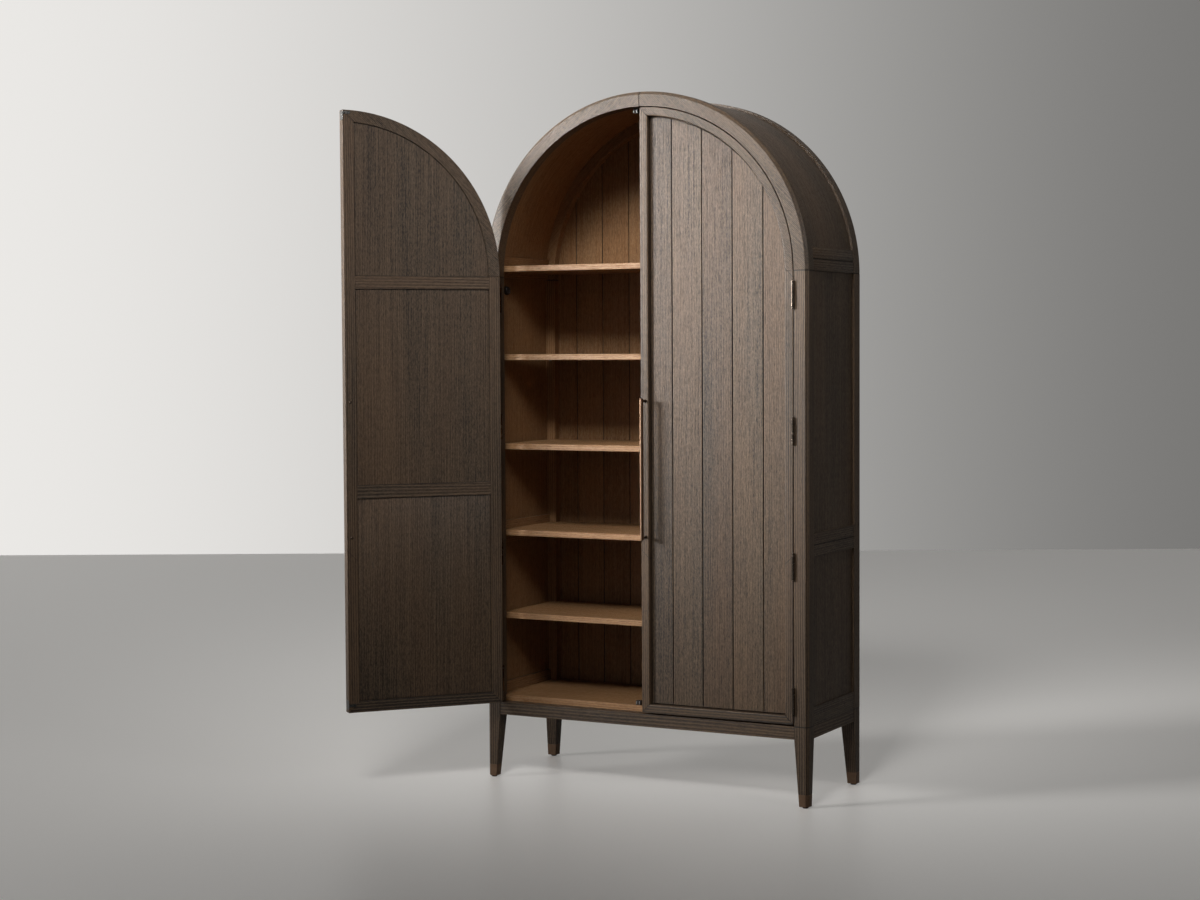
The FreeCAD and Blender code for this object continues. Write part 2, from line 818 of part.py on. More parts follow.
def hinge_leaf(label, level, inner, own):
    """A leaf with its knuckles. inner is the nearer of its faces, own its knuckles."""
    body = new_body(label)
    bind(body, Placement__Base__z=level + " - hinge_height / 2")
    prism(body, "YZ", comb(own), inner, "leaf_thickness")
    sketch = new_sketch(body, "XY", "%d * (knuckle_height + knuckle_gap)" % own[0])
    rounded(sketch, "hinge_x", "hinge_y", "knuckle_radius")
    knuckle = grow(body, sketch, "XY", "knuckle_height")
    travel = "%d * (knuckle_height + knuckle_gap)" % (own[-1] - own[0])
    repeated(body, knuckle, "Z", travel, len(own))
    bore = new_sketch(body, "XY", "0 - overrun")
    rounded(bore, "hinge_x", "hinge_y", clear_of("hinge_pin_radius + hinge_pin_play", 8), 8)
    cut(body, bore, "XY", "hinge_height + 2 * overrun")
    return body


def hinge_levels():
    """Heights of the four hinges of a door."""
    return ["hinge_low + %d * hinge_step" % n for n in range(4)]


def case_leaves(label):
    """The leaves let into a front post, each with three knuckles."""
    leaves = [hinge_leaf("case_leaf", level, "opening", (0, 2, 4)) for level in hinge_levels()]
    return group(label, leaves)


def door_leaves(label):
    """The leaves let into a door's hinge stile, each with two knuckles."""
    inner = "door_radius - leaf_thickness"
    return group(label, [hinge_leaf("door_leaf", level, inner, (1, 3)) for level in hinge_levels()])


def hinge_pin(level):
    """A round hinge pin, whose tips stand out above and below its knuckles."""
    pin = doc.addObject("Part::Cylinder", "hinge_pin")
    bind(
        pin,
        Radius="hinge_pin_radius",
        Height="hinge_height + 2 * hinge_pin_tip",
        Placement__Base__x="hinge_x",
        Placement__Base__y="hinge_y - case_depth / 2",
        Placement__Base__z="%s - hinge_height / 2 - hinge_pin_tip" % level,
    )
    return pin


def hinge_pins():
    """The pins of both doors' hinges."""
    right = [hinge_pin(level) for level in hinge_levels()]
    return group("hinge_pins", right + [mirrored("hinge_pin_left", pin) for pin in right])


# Catches and cap


def catches():
    """A magnet catch for each door, above and below, with two pole plates on each."""
    top = "spring_height + sqrt(opening ^ 2 - (catch_inset + catch_width / 2) ^ 2) - catch_play"
    bodies = []
    poles = []
    for low in ("(%s) - catch_height" % top, "board_top"):
        high = "(%s) + catch_height" % low
        body = block(
            "catch_body",
            "catch_inset - catch_width / 2",
            "catch_inset + catch_width / 2",
            "catch_front",
            "catch_front + catch_depth",
            low,
            high,
        )
        bodies += [body, mirrored("catch_body_left", body)]
        for side in ("-", "+"):
            middle = "catch_inset %s pole_step / 2" % side
            pole = block(
                "catch_pole",
                middle + " - pole_width / 2",
                middle + " + pole_width / 2",
                "catch_front - pole_reach",
                "catch_front",
                low,
                high,
            )
            poles += [pole, mirrored("catch_pole_left", pole)]
    return [group("catch_bodies", bodies), group("catch_poles", poles)]


def side_cap():
    """The round cap on the left side panel's inner face."""
    made = doc.addObject("Part::Prism", "cap")
    made.Label = "side_cap"
    made.Polygon = 32
    made.Placement.Rotation = FreeCAD.Rotation(FreeCAD.Vector(0, 1, 0), 90)
    bind(
        made,
        Circumradius="cap_radius",
        Height="cap_height",
        Placement__Base__x="0 - panel_inner",
        Placement__Base__y="cap_inset - case_depth / 2",
        Placement__Base__z="spring_height - cap_drop",
    )
    return made


# Doors, drawn closed for the right side


def frame_section(outer, face, inner):
    """A door frame's section in X and Y: its face in front and its wider lip behind."""
    return (
        (outer, "0"),
        (outer, "door_thickness"),
        (inner, "door_thickness"),
        (inner, "lip_front"),
        (face, "lip_front"),
        (face, "0"),
    )


def across_door(body, corners):
    """Cuts an outline in X and Z through the door's thickness."""
    return notch(body, "XZ", corners, "0", "door_thickness")


def hinge_stile():
    """The stile at the hinges, mitred at its foot and let in for the hinge leaves."""
    body = new_body("hinge_stile_right")
    section = frame_section(
        "door_radius", "door_radius - frame_face", "door_radius - frame_width"
    )
    prism(body, "XY", section, "door_foot", "spring_height - door_foot")
    across_door(
        body,
        (
            ("door_radius", "door_foot"),
            ("door_radius - frame_width", "door_foot"),
            ("door_radius - frame_width", "door_foot + frame_width"),
        ),
    )
    leaf = rectangle(
        "0 - overrun",
        "leaf_depth",
        "hinge_low - hinge_height / 2",
        "hinge_low + hinge_height / 2",
    )
    mortise = notch(body, "YZ", leaf, "door_radius - leaf_thickness", "leaf_thickness + overrun")
    repeated(body, mortise, "Z", "3 * hinge_step", 4)
    return body


def meeting_stile():
    """The stile where the doors meet, mitred at both ends and let in for the strike plates."""
    body = new_body("meeting_stile_right")
    section = frame_section("door_near", "door_near + frame_face", "door_near + frame_width")
    prism(body, "XY", section, "door_foot", "door_top - door_foot")
    across_door(
        body,
        (
            ("door_near", "door_foot"),
            ("door_near + frame_width", "door_foot"),
            ("door_near + frame_width", "door_foot + frame_width"),
        ),
    )
    across_door(
        body,
        (
            ("door_near", "door_top"),
            ("mitre_x", "mitre_z"),
            ("mitre_x + frame_width", "mitre_z"),
            ("mitre_x + frame_width", "door_top + frame_width"),
            ("door_near", "door_top + frame_width"),
        ),
    )
    for low, high in strike_edges():
        plate = rectangle("strike_setback", "door_thickness", low, high)
        notch(body, "YZ", plate, "door_near - overrun", "overrun + strike_thickness")
    return body


def bottom_rail():
    """The door's bottom rail, mitred at both ends."""
    body = new_body("bottom_rail_right")
    face = (
        ("door_near", "door_foot"),
        ("door_radius", "door_foot"),
        ("door_radius - frame_width", "door_foot + frame_width"),
        ("door_near + frame_width", "door_foot + frame_width"),
    )
    prism(body, "XZ", face, "0", "door_thickness")
    step = rectangle(
        "0 - overrun",
        "door_radius + overrun",
        "door_foot + frame_face",
        "door_foot + frame_width + overrun",
    )
    notch(body, "XZ", step, "0", "lip_front")
    return body


def top_rail():
    """The door's curved rail, from the hinge stile up to the mitre at the meeting stile."""
    body = new_body("top_rail_right")
    section = frame_section(
        "door_radius", "door_radius - frame_face", "door_radius - frame_width"
    )
    swing(body, section, "90")
    across_door(
        body,
        (
            ("door_near", "door_top - spring_height"),
            ("door_near - mitre_x / 2", "door_top - spring_height + mitre_drop / 2"),
            ("0 - overrun", "door_top - spring_height + mitre_drop / 2"),
            ("0 - overrun", "mitre_z - spring_height - mitre_drop / 2"),
            ("mitre_x + mitre_x / 2 - door_near / 2", "mitre_z - spring_height - mitre_drop / 2"),
        ),
    )
    return body


def cross_rails():
    """The two rails across the door behind its planks."""
    side = ("door_near + frame_width", "door_radius - frame_width")
    depth = ("lip_front", "door_thickness")
    lower = ("cross_rail_level", "cross_rail_level + cross_rail_height")
    upper = ("upper_cross_level", "spring_height")
    return group(
        "cross_rails_right",
        [block("cross_rail", *side, *depth, *lower), block("cross_rail", *side, *depth, *upper)],
    )


def planks():
    """The arched planks in the door's front, with a groove between each two."""
    body = new_body("planks_right")
    sketch = new_sketch(body, "XZ", "plank_front")
    arched(sketch, "plank_near", "plank_radius", "plank_low", "spring_height", "plank_radius")
    grow(body, sketch, "XZ", "plank_thickness")
    first = "((plank_near + plank_radius) / 2 - 1.5 * plank_width)"
    groove = (
        (first + " - groove_width / 2", "plank_front"),
        (first + " + groove_width / 2", "plank_front"),
        (first, "plank_front + groove_depth"),
    )
    cut_groove = notch(body, "XY", groove, "0", "spring_height + arch_radius")
    repeated(body, cut_groove, "X", "3 * plank_width", 4)
    return body


def lining_panels():
    """The three flat panels on the door's inner side, between its cross rails."""
    side = ("lining_near", "lining_radius")
    depth = ("lip_front", "lip_front + lining_thickness")
    lower = ("lining_low", "cross_rail_level - lining_play")
    upper = ("cross_rail_level + cross_rail_height + lining_play", "upper_cross_level - lining_play")
    top = new_body("lining_arch")
    sketch = new_sketch(top, "XZ", "lip_front")
    arched(
        sketch,
        "lining_near",
        "sqrt(lining_radius ^ 2 - lining_play ^ 2)",
        "spring_height + lining_play",
        "spring_height",
        "lining_radius",
    )
    grow(top, sketch, "XZ", "lining_thickness")
    return group(
        "lining_panels_right",
        [block("lining", *side, *depth, *lower), block("lining", *side, *depth, *upper), top],
    )


def handle_bar():
    """The long handle bar with its edges taken off."""
    body = new_body("handle_bar_right")
    left = "handle_x - handle_width / 2"
    right = "handle_x + handle_width / 2"
    front = "0 - handle_stand - handle_depth"
    rear = "0 - handle_stand"
    section = (
        (left + " + handle_edge", front),
        (right + " - handle_edge", front),
        (right, front + " + handle_edge"),
        (right, rear + " - handle_edge"),
        (right + " - handle_edge", rear),
        (left + " + handle_edge", rear),
        (left, rear + " - handle_edge"),
        (left, front + " + handle_edge"),
    )
    prism(body, "XY", section, "handle_level - handle_length / 2", "handle_length")
    return body


def handle_fixings():
    """The handle's two posts, and the heads of the screws that hold them from inside."""
    made = []
    for side in ("-", "+"):
        height = "handle_level %s handle_post_step / 2" % side
        post = ("handle_x", "0 - handle_stand", height, "handle_post_radius", "handle_stand")
        head = ("handle_x", "door_thickness", height, "screw_radius", "screw_head")
        made += [rod("handle_post", *post), rod("screw_head", *head)]
    return group("handle_fixings_right", made)


def strike_edges():
    """Lower and upper edges of the strike plates on the free edge, the lower plate first."""
    return (
        ("board_top - strike_inset", "board_top - strike_inset + strike_drop"),
        ("door_top - strike_inset - strike_drop", "door_top - strike_inset"),
    )


def strike_plates():
    """Bent strike plates: one leg let into the free edge, one on the inner face."""
    made = []
    for (low, high), upper in zip(strike_edges(), (False, True)):
        body = new_body("strike_plate")
        edge = rectangle("strike_setback", "door_thickness + strike_thickness", low, high)
        prism(body, "YZ", edge, "door_near", "strike_thickness")
        face_low = high + " - strike_height" if upper else "board_top + strike_inset"
        face = rectangle(
            "door_near", "door_near + strike_width", face_low, face_low + " + strike_height"
        )
        prism(body, "XZ", face, "door_thickness", "strike_thickness")
        made.append(body)
    return group("strike_plates_right", made)


def opened(label, source):
    """The left door's copy of a right-hand piece, turned open about its hinge axis."""
    made = mirrored(label, source)
    made.Placement.Rotation = FreeCAD.Rotation(FreeCAD.Vector(0, 0, -1), 1)
    axis_x = "(0 - (hinge_x))"
    axis_y = "(hinge_y - case_depth / 2)"
    bind(
        made,
        Placement__Rotation__Angle="open_angle",
        Placement__Base__x="%s * (1 - cos(open_angle)) - %s * sin(open_angle)" % (axis_x, axis_y),
        Placement__Base__y="%s * (1 - cos(open_angle)) + %s * sin(open_angle)" % (axis_y, axis_x),
    )
    return made


def doors():
    """Both doors' pieces: the right one closed, the left one open."""
    right = [
        hinge_stile(),
        meeting_stile(),
        bottom_rail(),
        top_rail(),
        cross_rails(),
        planks(),
        lining_panels(),
        door_leaves("door_leaves_right"),
        handle_bar(),
        handle_fixings(),
        strike_plates(),
    ]
    return right + [opened(piece.Label.replace("_right", "_left"), piece) for piece in right]


def cabinet():
    """Every node of the cabinet."""
    made = []
    made += pair(front_post, "front_post")
    made += pair(rear_post, "rear_post")
    made += pair(front_arch, "front_arch")
    made += pair(rear_arch, "rear_arch")
    made += leg_frame()
    made += pair(side_rails, "side_rails")
    made += pair(side_panels, "side_panels")
    made += [roof_panel(), bottom_board(), back_planks()]
    made += [shelf(number, number in (1, 4)) for number in range(1, 6)]
    made.append(shelf_pins())
    made += pair(case_leaves, "case_leaves")
    made.append(hinge_pins())
    made += catches()
    made.append(side_cap())
    return made + doors()


def check(nodes):
    """Stops if any object failed, or a node's shape is empty or faulty."""
    for thing in doc.Objects:
        if "Invalid" in thing.State or "Error" in thing.State:
            raise RuntimeError("%s (%s) failed" % (thing.Label, thing.Name))
    for node in nodes:
        if node.Shape.isNull() or not node.Shape.isValid() or node.Shape.Volume <= 0:
            raise RuntimeError("%s has no sound shape" % node.Label)


def export(nodes):
    """Writes each node's shape to a file of its own."""
    os.makedirs("parts", exist_ok=True)
    for node in nodes:
        node.Shape.exportStep("parts/%s.step" % node.Label)


pieces = cabinet()
doc.recompute()
check(pieces)
export(pieces)
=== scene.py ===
"""Dresses the arched two-door oak cabinet: its wood, its metal and the studio round it."""

import json
import math

import bmesh
import bpy
import numpy as np
from bpy.props import FloatProperty, FloatVectorProperty, PointerProperty
from mathutils import Matrix, Vector


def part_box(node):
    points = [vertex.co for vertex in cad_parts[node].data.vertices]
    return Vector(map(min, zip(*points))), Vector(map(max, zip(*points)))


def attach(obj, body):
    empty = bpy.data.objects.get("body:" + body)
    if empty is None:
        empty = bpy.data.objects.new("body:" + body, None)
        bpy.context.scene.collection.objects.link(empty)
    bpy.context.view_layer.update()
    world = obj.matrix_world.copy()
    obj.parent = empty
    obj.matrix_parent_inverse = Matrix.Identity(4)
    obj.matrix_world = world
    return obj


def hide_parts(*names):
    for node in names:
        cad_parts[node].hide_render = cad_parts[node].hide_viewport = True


bl_info = {
    "name": "Arched Cabinet",
    "version": (1, 0, 0),
    "blender": (4, 5, 0),
    "location": "3D View > Sidebar > Cabinet",
    "description": "Dresses the arched two-door oak cabinet and sets up its studio",
    "category": "Object",
}

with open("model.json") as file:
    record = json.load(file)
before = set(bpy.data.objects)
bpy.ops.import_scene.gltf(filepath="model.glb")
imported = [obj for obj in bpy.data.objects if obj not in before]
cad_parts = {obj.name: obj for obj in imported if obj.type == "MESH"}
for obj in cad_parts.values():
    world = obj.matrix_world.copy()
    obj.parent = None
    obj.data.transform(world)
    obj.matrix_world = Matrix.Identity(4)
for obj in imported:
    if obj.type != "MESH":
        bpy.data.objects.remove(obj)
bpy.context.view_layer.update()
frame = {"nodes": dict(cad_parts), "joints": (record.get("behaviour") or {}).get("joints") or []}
NODES = frame["nodes"]
JOINTS = {joint["name"]: joint for joint in frame["joints"]}

# Places that several pieces share, in metres, read from the frame
HINGE = Vector(JOINTS["door_right_hinge"]["pos_m"])
OPEN_ANGLE = math.radians(-JOINTS["door_left_hinge"]["range_deg"][0])
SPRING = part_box("front_arch_right")[0].z
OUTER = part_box("front_arch_right")[1].x
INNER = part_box("front_post_right")[0].x
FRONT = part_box("front_post_right")[0].y
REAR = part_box("rear_post_right")[1].y
PANEL_IN, PANEL_OUT = (corner.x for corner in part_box("side_panels_right"))
DOOR_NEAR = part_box("meeting_stile_right")[0].x
DOOR_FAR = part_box("hinge_stile_right")[1].x
CROSS_LOW, CROSS_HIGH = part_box("cross_rails_right")

# Sizes that the frame's boxes don't give, in metres
CHAMFER = 0.010
BACK_REBATE = 0.012
STILE_FACE = 0.029
CROSS_RAIL_TALL = 0.044
DOOR_PLANK = 0.1107
BACK_PLANK = 0.1076
GROOVE_DEPTH = 0.0022
FINE_EASE = 0.0003

# The photograph's camera: its place in metres, and its angles in radians
EYE = Vector((3.3045, FRONT - 6.4832, 1.516))
YAW, PITCH, ROLL = 0.4902, -0.0479, -0.0055

# Each lamp's place, target and width in metres, its spread in degrees, and its power's setting
LAMPS = {
    "main_lamp": ((-4.28, -4.04, 3.05), (-0.15, -0.2, 1.95), 2.4, 28, "key_power"),
    "high_lamp": ((0.78, -4.62, 5.20), (-0.3, -0.2, 1.95), 1.8, 40, "high_power"),
    "side_lamp": ((5.45, -1.66, 3.35), (0, -0.2, 1.9), 2.0, 60, "fill_power"),
}

# Each cut's distance between growth lines in metres, how far the lines wander, and the shares
# of lines, streaks, flecks and slow changes of tone
CUTS = {
    "rift": (0.0080, 30.0, (0.34, 0.30, 0.24, 0.12)),
    "flat": (0.0060, 26.0, (0.22, 0.36, 0.36, 0.06)),
    "fine": (0.0046, 24.0, (0.30, 0.30, 0.36, 0.10)),
}

# Each metal's setting, the share of its colour that is used, its roughness and its brush marks
METALS = {
    "aged_bronze": ("bronze", 1.0, 0.34, 0.5),
    "blackened_metal": ("black", 1.0, 0.30, 0.2),
    "hinge_metal": ("hinge", 1.0, 0.20, 0.1),
    "bright_steel": ("steel", 1.0, 0.30, 0.4),
    # The strike plates' steel keeps 0.45 of the steel colour: painted shade that darkens their
    # reflections
    "polished_steel": ("steel", 0.45, 0.20, 0.1),
}


# Settings


def linear(red, green, blue):
    """A screen colour, 0 to 255, as the linear light that a shader takes."""
    shares = np.array([red, green, blue]) / 255
    return tuple(np.where(shares < 0.04045, shares / 12.92, ((shares + 0.055) / 1.055) ** 2.4))


def colour_setting(name, description, *screen):
    """A colour, whose default is given as a screen colour."""
    return FloatVectorProperty(
        name=name, description=description, subtype="COLOR", default=linear(*screen)
    )


def length_setting(name, description, metres):
    """A length in metres."""
    return FloatProperty(name=name, description=description, unit="LENGTH", default=metres, min=0)


def power_setting(name, description, watts):
    """A lamp's power in watts."""
    return FloatProperty(name=name, description=description, unit="POWER", default=watts, min=0)


class OakFinish(bpy.types.PropertyGroup):
    """Colours and grain of the two oak finishes."""

    fumed_dark: colour_setting(
        "Fumed, dark grain", "Colour of the dark grain of the fumed oak", 29, 20, 13
    )
    fumed_light: colour_setting(
        "Fumed, pale grain", "Colour of the pale grain of the fumed oak", 108, 89, 69
    )
    natural_dark: colour_setting(
        "Natural, dark grain", "Colour of the dark grain of the natural oak", 124, 86, 50
    )
    natural_light: colour_setting(
        "Natural, pale grain", "Colour of the pale grain of the natural oak", 170, 135, 98
    )
    pore_depth: length_setting("Pore depth", "How deep the open pores of the oak look", 0.0006)
    roughness: FloatProperty(
        name="Roughness", description="Roughness of the oiled oak", default=0.40, min=0, max=1
    )


class MetalFinish(bpy.types.PropertyGroup):
    """Colours of the metal and plastic fittings."""

    bronze: colour_setting("Bronze", "Colour of the aged bronze", 142, 115, 94)
    black: colour_setting("Black", "Colour of the blackened handle posts", 84, 72, 62)
    hinge: colour_setting("Hinges", "Colour of the hinges' dark metal", 128, 116, 104)
    steel: colour_setting("Steel", "Colour of the bright steel", 190, 188, 184)
    plastic: colour_setting("Plastic", "Colour of the dark plastic", 40, 31, 27)


class CabinetSizes(bpy.types.PropertyGroup):
    """Small sizes of the edges that the eye sees."""

    frame_ease: length_setting(
        "Frame edges", "How far the edges of posts, rails and stiles are rounded", 0.0011
    )
    board_ease: length_setting(
        "Board edges", "How far the edges of shelves and boards are rounded", 0.0012
    )
    door_ease: length_setting(
        "Door frame's inner edge",
        "How far the inner front edge of a door's frame is rounded",
        0.0048,
    )
    plank_ease: length_setting(
        "Plank edges", "How far the edges of the planks' grooves are rounded", 0.0006
    )


class StudioSettings(bpy.types.PropertyGroup):
    """Floor, background, lamps and camera."""

    floor: colour_setting("Floor", "Colour of the floor", 150, 148, 145)
    background_left: colour_setting(
        "Background, left", "Colour of the studio on the side of the main lamp", 236, 234, 231
    )
    background_right: colour_setting(
        "Background, right", "Colour of the studio on the other side", 118, 117, 115
    )
    key_power: power_setting("Main lamp", "Power of the large soft lamp on the left", 37)
    high_power: power_setting("High lamp", "Power of the soft lamp high up in front", 16)
    fill_power: power_setting("Second lamp", "Power of the weak soft lamp on the right", 5)
    ambient: FloatProperty(
        name="Ambient light",
        description="Strength of the dim light from the front",
        default=0.03,
        min=0,
    )
    rear_light: FloatProperty(
        name="Light from behind",
        description="Strength of the dim light from behind the cabinet",
        default=0.7,
        min=0,
    )
    focal_length: FloatProperty(
        name="Focal length",
        description="Focal length of the camera on a 36 mm wide sensor, in millimetres",
        default=64.671,
        min=1,
    )


# Surfaces


def eased(corners, ease, steps=4):
    """A closed outline with rounded corners.

    Each corner C becomes the curve (1-s)^2 A + 2s(1-s) C + s^2 B for s from 0 to 1,
    where A and B lie on the corner's two edges at the distance ease from it. ease may be
    one number or one for each corner."""
    c = np.asarray(corners, float)
    ease = np.broadcast_to(ease, len(c))[:, None]
    before = np.roll(c, 1, 0) - c
    after = np.roll(c, -1, 0) - c
    a = c + before / np.linalg.norm(before, axis=1, keepdims=True) * ease
    b = c + after / np.linalg.norm(after, axis=1, keepdims=True) * ease
    s = np.linspace(0, 1, steps)[None, :, None]
    curve = (1 - s) ** 2 * a[:, None] + 2 * s * (1 - s) * c[:, None] + s**2 * b[:, None]
    return curve.reshape(-1, 2)


def rectangle(x0, x1, y0, y1):
    """The four corners of a rectangle."""
    return [(x0, y0), (x1, y0), (x1, y1), (x0, y1)]


def drawn_in(section, nose, rings):
    """The outline on each of the rings, drawn towards its middle by nose on the first and last."""
    centre = (section.min(0) + section.max(0)) / 2
    reach = np.abs(section - centre).max(0)
    inset = np.zeros(rings)
    inset[[0, -1]] = nose
    shares = 1 - inset[:, None] / reach[None]
    return centre + (section - centre)[None] * shares[:, None]


def raised(outlines, levels):
    """Outlines in X and Y, each at its level in Z."""
    heights = np.broadcast_to(levels[:, None, None], outlines.shape[:2] + (1,))
    return np.concatenate([outlines, heights], -1)


def bar(section, low, high, nose):
    """A straight bar along Z: the outline at low, low + nose, high - nose and high."""
    return raised(drawn_in(section, nose, 4), np.array([low, low + nose, high - nose, high]))


def mitred(section, start, end, nose):
    """A straight member whose ends are cut at a slant.

    A point (a, y) of the outline runs from the length start(a) to the length end(a), and the
    rings are start, start + nose, end - nose and end. Gives a, y and the length."""
    outline = drawn_in(section, nose, 4)
    a = outline[..., 0]
    along = np.stack([start(a[0]), start(a[1]) + nose, end(a[2]) - nose, end(a[3])])
    return np.stack([a, outline[..., 1], along], -1)


def swung(section, start, end, nose, rings=72):
    """A member bent round the arch's axis.

    A point (r, y) of the outline goes to x = r cos a, z = spring + r sin a, where the angle a
    runs from start to end. Both may be arrays, one angle for each point of the outline. The
    second ring and the last but one lie nearly nose from the ends."""
    outline = drawn_in(section, nose, rings)
    share = np.linspace(0, 1, rings - 2)
    small = nose / OUTER / 1.5
    share = np.concatenate([[0], [small], share[1:-1], [1 - small], [1]])[:, None]
    angle = start + (end - start) * share
    r = outline[..., 0]
    return np.stack([r * np.cos(angle), outline[..., 1], SPRING + r * np.sin(angle)], -1)


def laid(flat, axis, centre):
    """Points whose third number is a height, with the height laid along the axis."""
    order = {"x": [2, 0, 1], "y": [0, 2, 1], "z": [0, 1, 2]}[axis]
    return flat[..., order] + np.asarray(centre)


def turned(profile, centre, axis, around=40):
    """A turned piece: each (radius, height) of the profile goes once round the axis."""
    profile = np.asarray(profile, float)
    angle = np.linspace(0, 2 * np.pi, around, endpoint=False)[:, None]
    radius = profile[:, 0]
    height = np.broadcast_to(profile[:, 1], (around, len(profile)))
    flat = np.stack([radius * np.cos(angle), radius * np.sin(angle), height], -1)
    return laid(flat, axis, centre)


def screw_head(centre, axis, radius, height, towards):
    """A screw head with a cross in it.

    Its height is h (1 - 0.7 (r / R)^2), less a pit of 0.75 h where r is under 0.62 R and the
    point lies within 0.13 R of either arm, and its rim is sunk a little. towards is 1 or -1,
    the way that it faces along the axis."""
    share = np.concatenate([[0], np.linspace(0.08, 0.97, 16), [1, 1]])
    angle = np.linspace(0, 2 * np.pi, 64, endpoint=False)[:, None]
    x = share * np.cos(angle)
    y = share * np.sin(angle)
    arm = np.minimum(np.abs(x), np.abs(y)) < 0.13
    pit = np.where(arm & (share < 0.62), 0.75, 0)
    rise = (1 - 0.7 * share**2 - pit) * height
    sunk = 0.0002
    rise[:, -1] = -sunk
    flat = np.stack([x * radius, y * radius, rise * towards], -1)
    return laid(flat, axis, centre)


def skin(points, rows_close, columns_close, caps):
    """The vertices and four-sided faces of a grid of points, and a face over each end if asked."""
    index = np.arange(points.shape[0] * points.shape[1]).reshape(points.shape[:2])
    near = index if rows_close else index[:-1]
    far = np.roll(index, -1, 0) if rows_close else index[1:]
    quads = np.stack([near, np.roll(near, -1, 1), np.roll(far, -1, 1), far], -1)
    quads = quads if columns_close else quads[:, :-1]
    faces = quads.reshape(-1, 4).tolist()
    if caps:
        faces += [index[0][::-1].tolist(), index[-1].tolist()]
    return points.reshape(-1, 3), faces


def solid_bar(points):
    """The skin of rings along a bar, closed over both ends."""
    return skin(points, False, True, True)


def solid_turned(points):
    """The skin of a turned profile that begins and ends on its axis."""
    return skin(points, True, False, False)


def solid_ring(points):
    """The skin of a turned profile that closes on itself."""
    return skin(points, True, True, False)


def slab(x0, x1, y0, y1, z0, z1, ease):
    """A flat plate with rounded edges, upright along Z."""
    return solid_bar(bar(eased(rectangle(x0, x1, y0, y1), ease), z0, z1, ease))


def opened(points):
    """Carries points of the closed right door to the open left one.

    They are mirrored in X, and then turned by the open angle about the left hinge's axis."""
    x = -points[..., 0] + HINGE.x
    y = points[..., 1] - HINGE.y
    cosine, sine = math.cos(-OPEN_ANGLE), math.sin(-OPEN_ANGLE)
    across = -HINGE.x + x * cosine - y * sine
    along = HINGE.y + x * sine + y * cosine
    return np.stack([across, along, points[..., 2]], -1)


def mirrored(points):
    """Carries points to the other side of the case."""
    return points * np.array([-1, 1, 1])


def both_sides(skins):
    """The skins and their mirror images on the other side of the case."""
    return skins + [(mirrored(points), faces) for points, faces in skins]


# Each door's side, and what carries the right door's points to it
DOORS = (("left", opened), ("right", None))


def make(name, skins, material, body, replaced=(), carry=None):
    """One piece out of several skins, with outward faces, smooth but for its real edges."""
    vertices = []
    faces = []
    for points, own in skins:
        first = len(vertices)
        points = carry(points) if carry else points
        vertices += points.tolist()
        faces += [[corner + first for corner in face] for face in own]
    mesh = bpy.data.meshes.new(name)
    mesh.from_pydata(vertices, [], faces)
    shaped = bmesh.new()
    shaped.from_mesh(mesh)
    bmesh.ops.remove_doubles(shaped, verts=shaped.verts, dist=1e-6)
    bmesh.ops.recalc_face_normals(shaped, faces=shaped.faces)
    shaped.to_mesh(mesh)
    shaped.free()
    mesh.shade_smooth()
    mesh.set_sharp_from_angle(angle=math.radians(38))
    mesh.materials.append(material)
    piece = bpy.data.objects.new(name, mesh)
    bpy.context.scene.collection.objects.link(piece)
    flat = piece.modifiers.new("flat faces", "WEIGHTED_NORMAL")
    flat.keep_sharp = True
    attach(piece, body)
    if replaced:
        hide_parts(*replaced)


def make_on_doors(*pieces):
    """Pieces of each door, out of the right door's skins."""
    for side, carry in reversed(DOORS):
        for stem, skins, material, slot, node in pieces:
            make(stem + side, skins, material, "door_" + side, [node + side], carry)


def dress(nodes, material, ease):
    """Gives solids of the frame their material and rounds their edges."""
    for node in nodes:
        piece = NODES[node]
        piece.material_slots[0].material = material
        join = piece.modifiers.new("join", "WELD")
        join.merge_threshold = 1e-5
        plain = piece.modifiers.new("plain faces", "DECIMATE")
        plain.decimate_type = "DISSOLVE"
        plain.angle_limit = math.radians(0.5)
        edge = piece.modifiers.new("rounded edges", "BEVEL")
        edge.width = ease
        edge.segments = 3
        edge.limit_method = "ANGLE"
        edge.angle_limit = math.radians(40)


def sides(*stems):
    """The names of nodes on the left and on the right."""
    return [stem + side for stem in stems for side in ("_left", "_right")]


# Materials


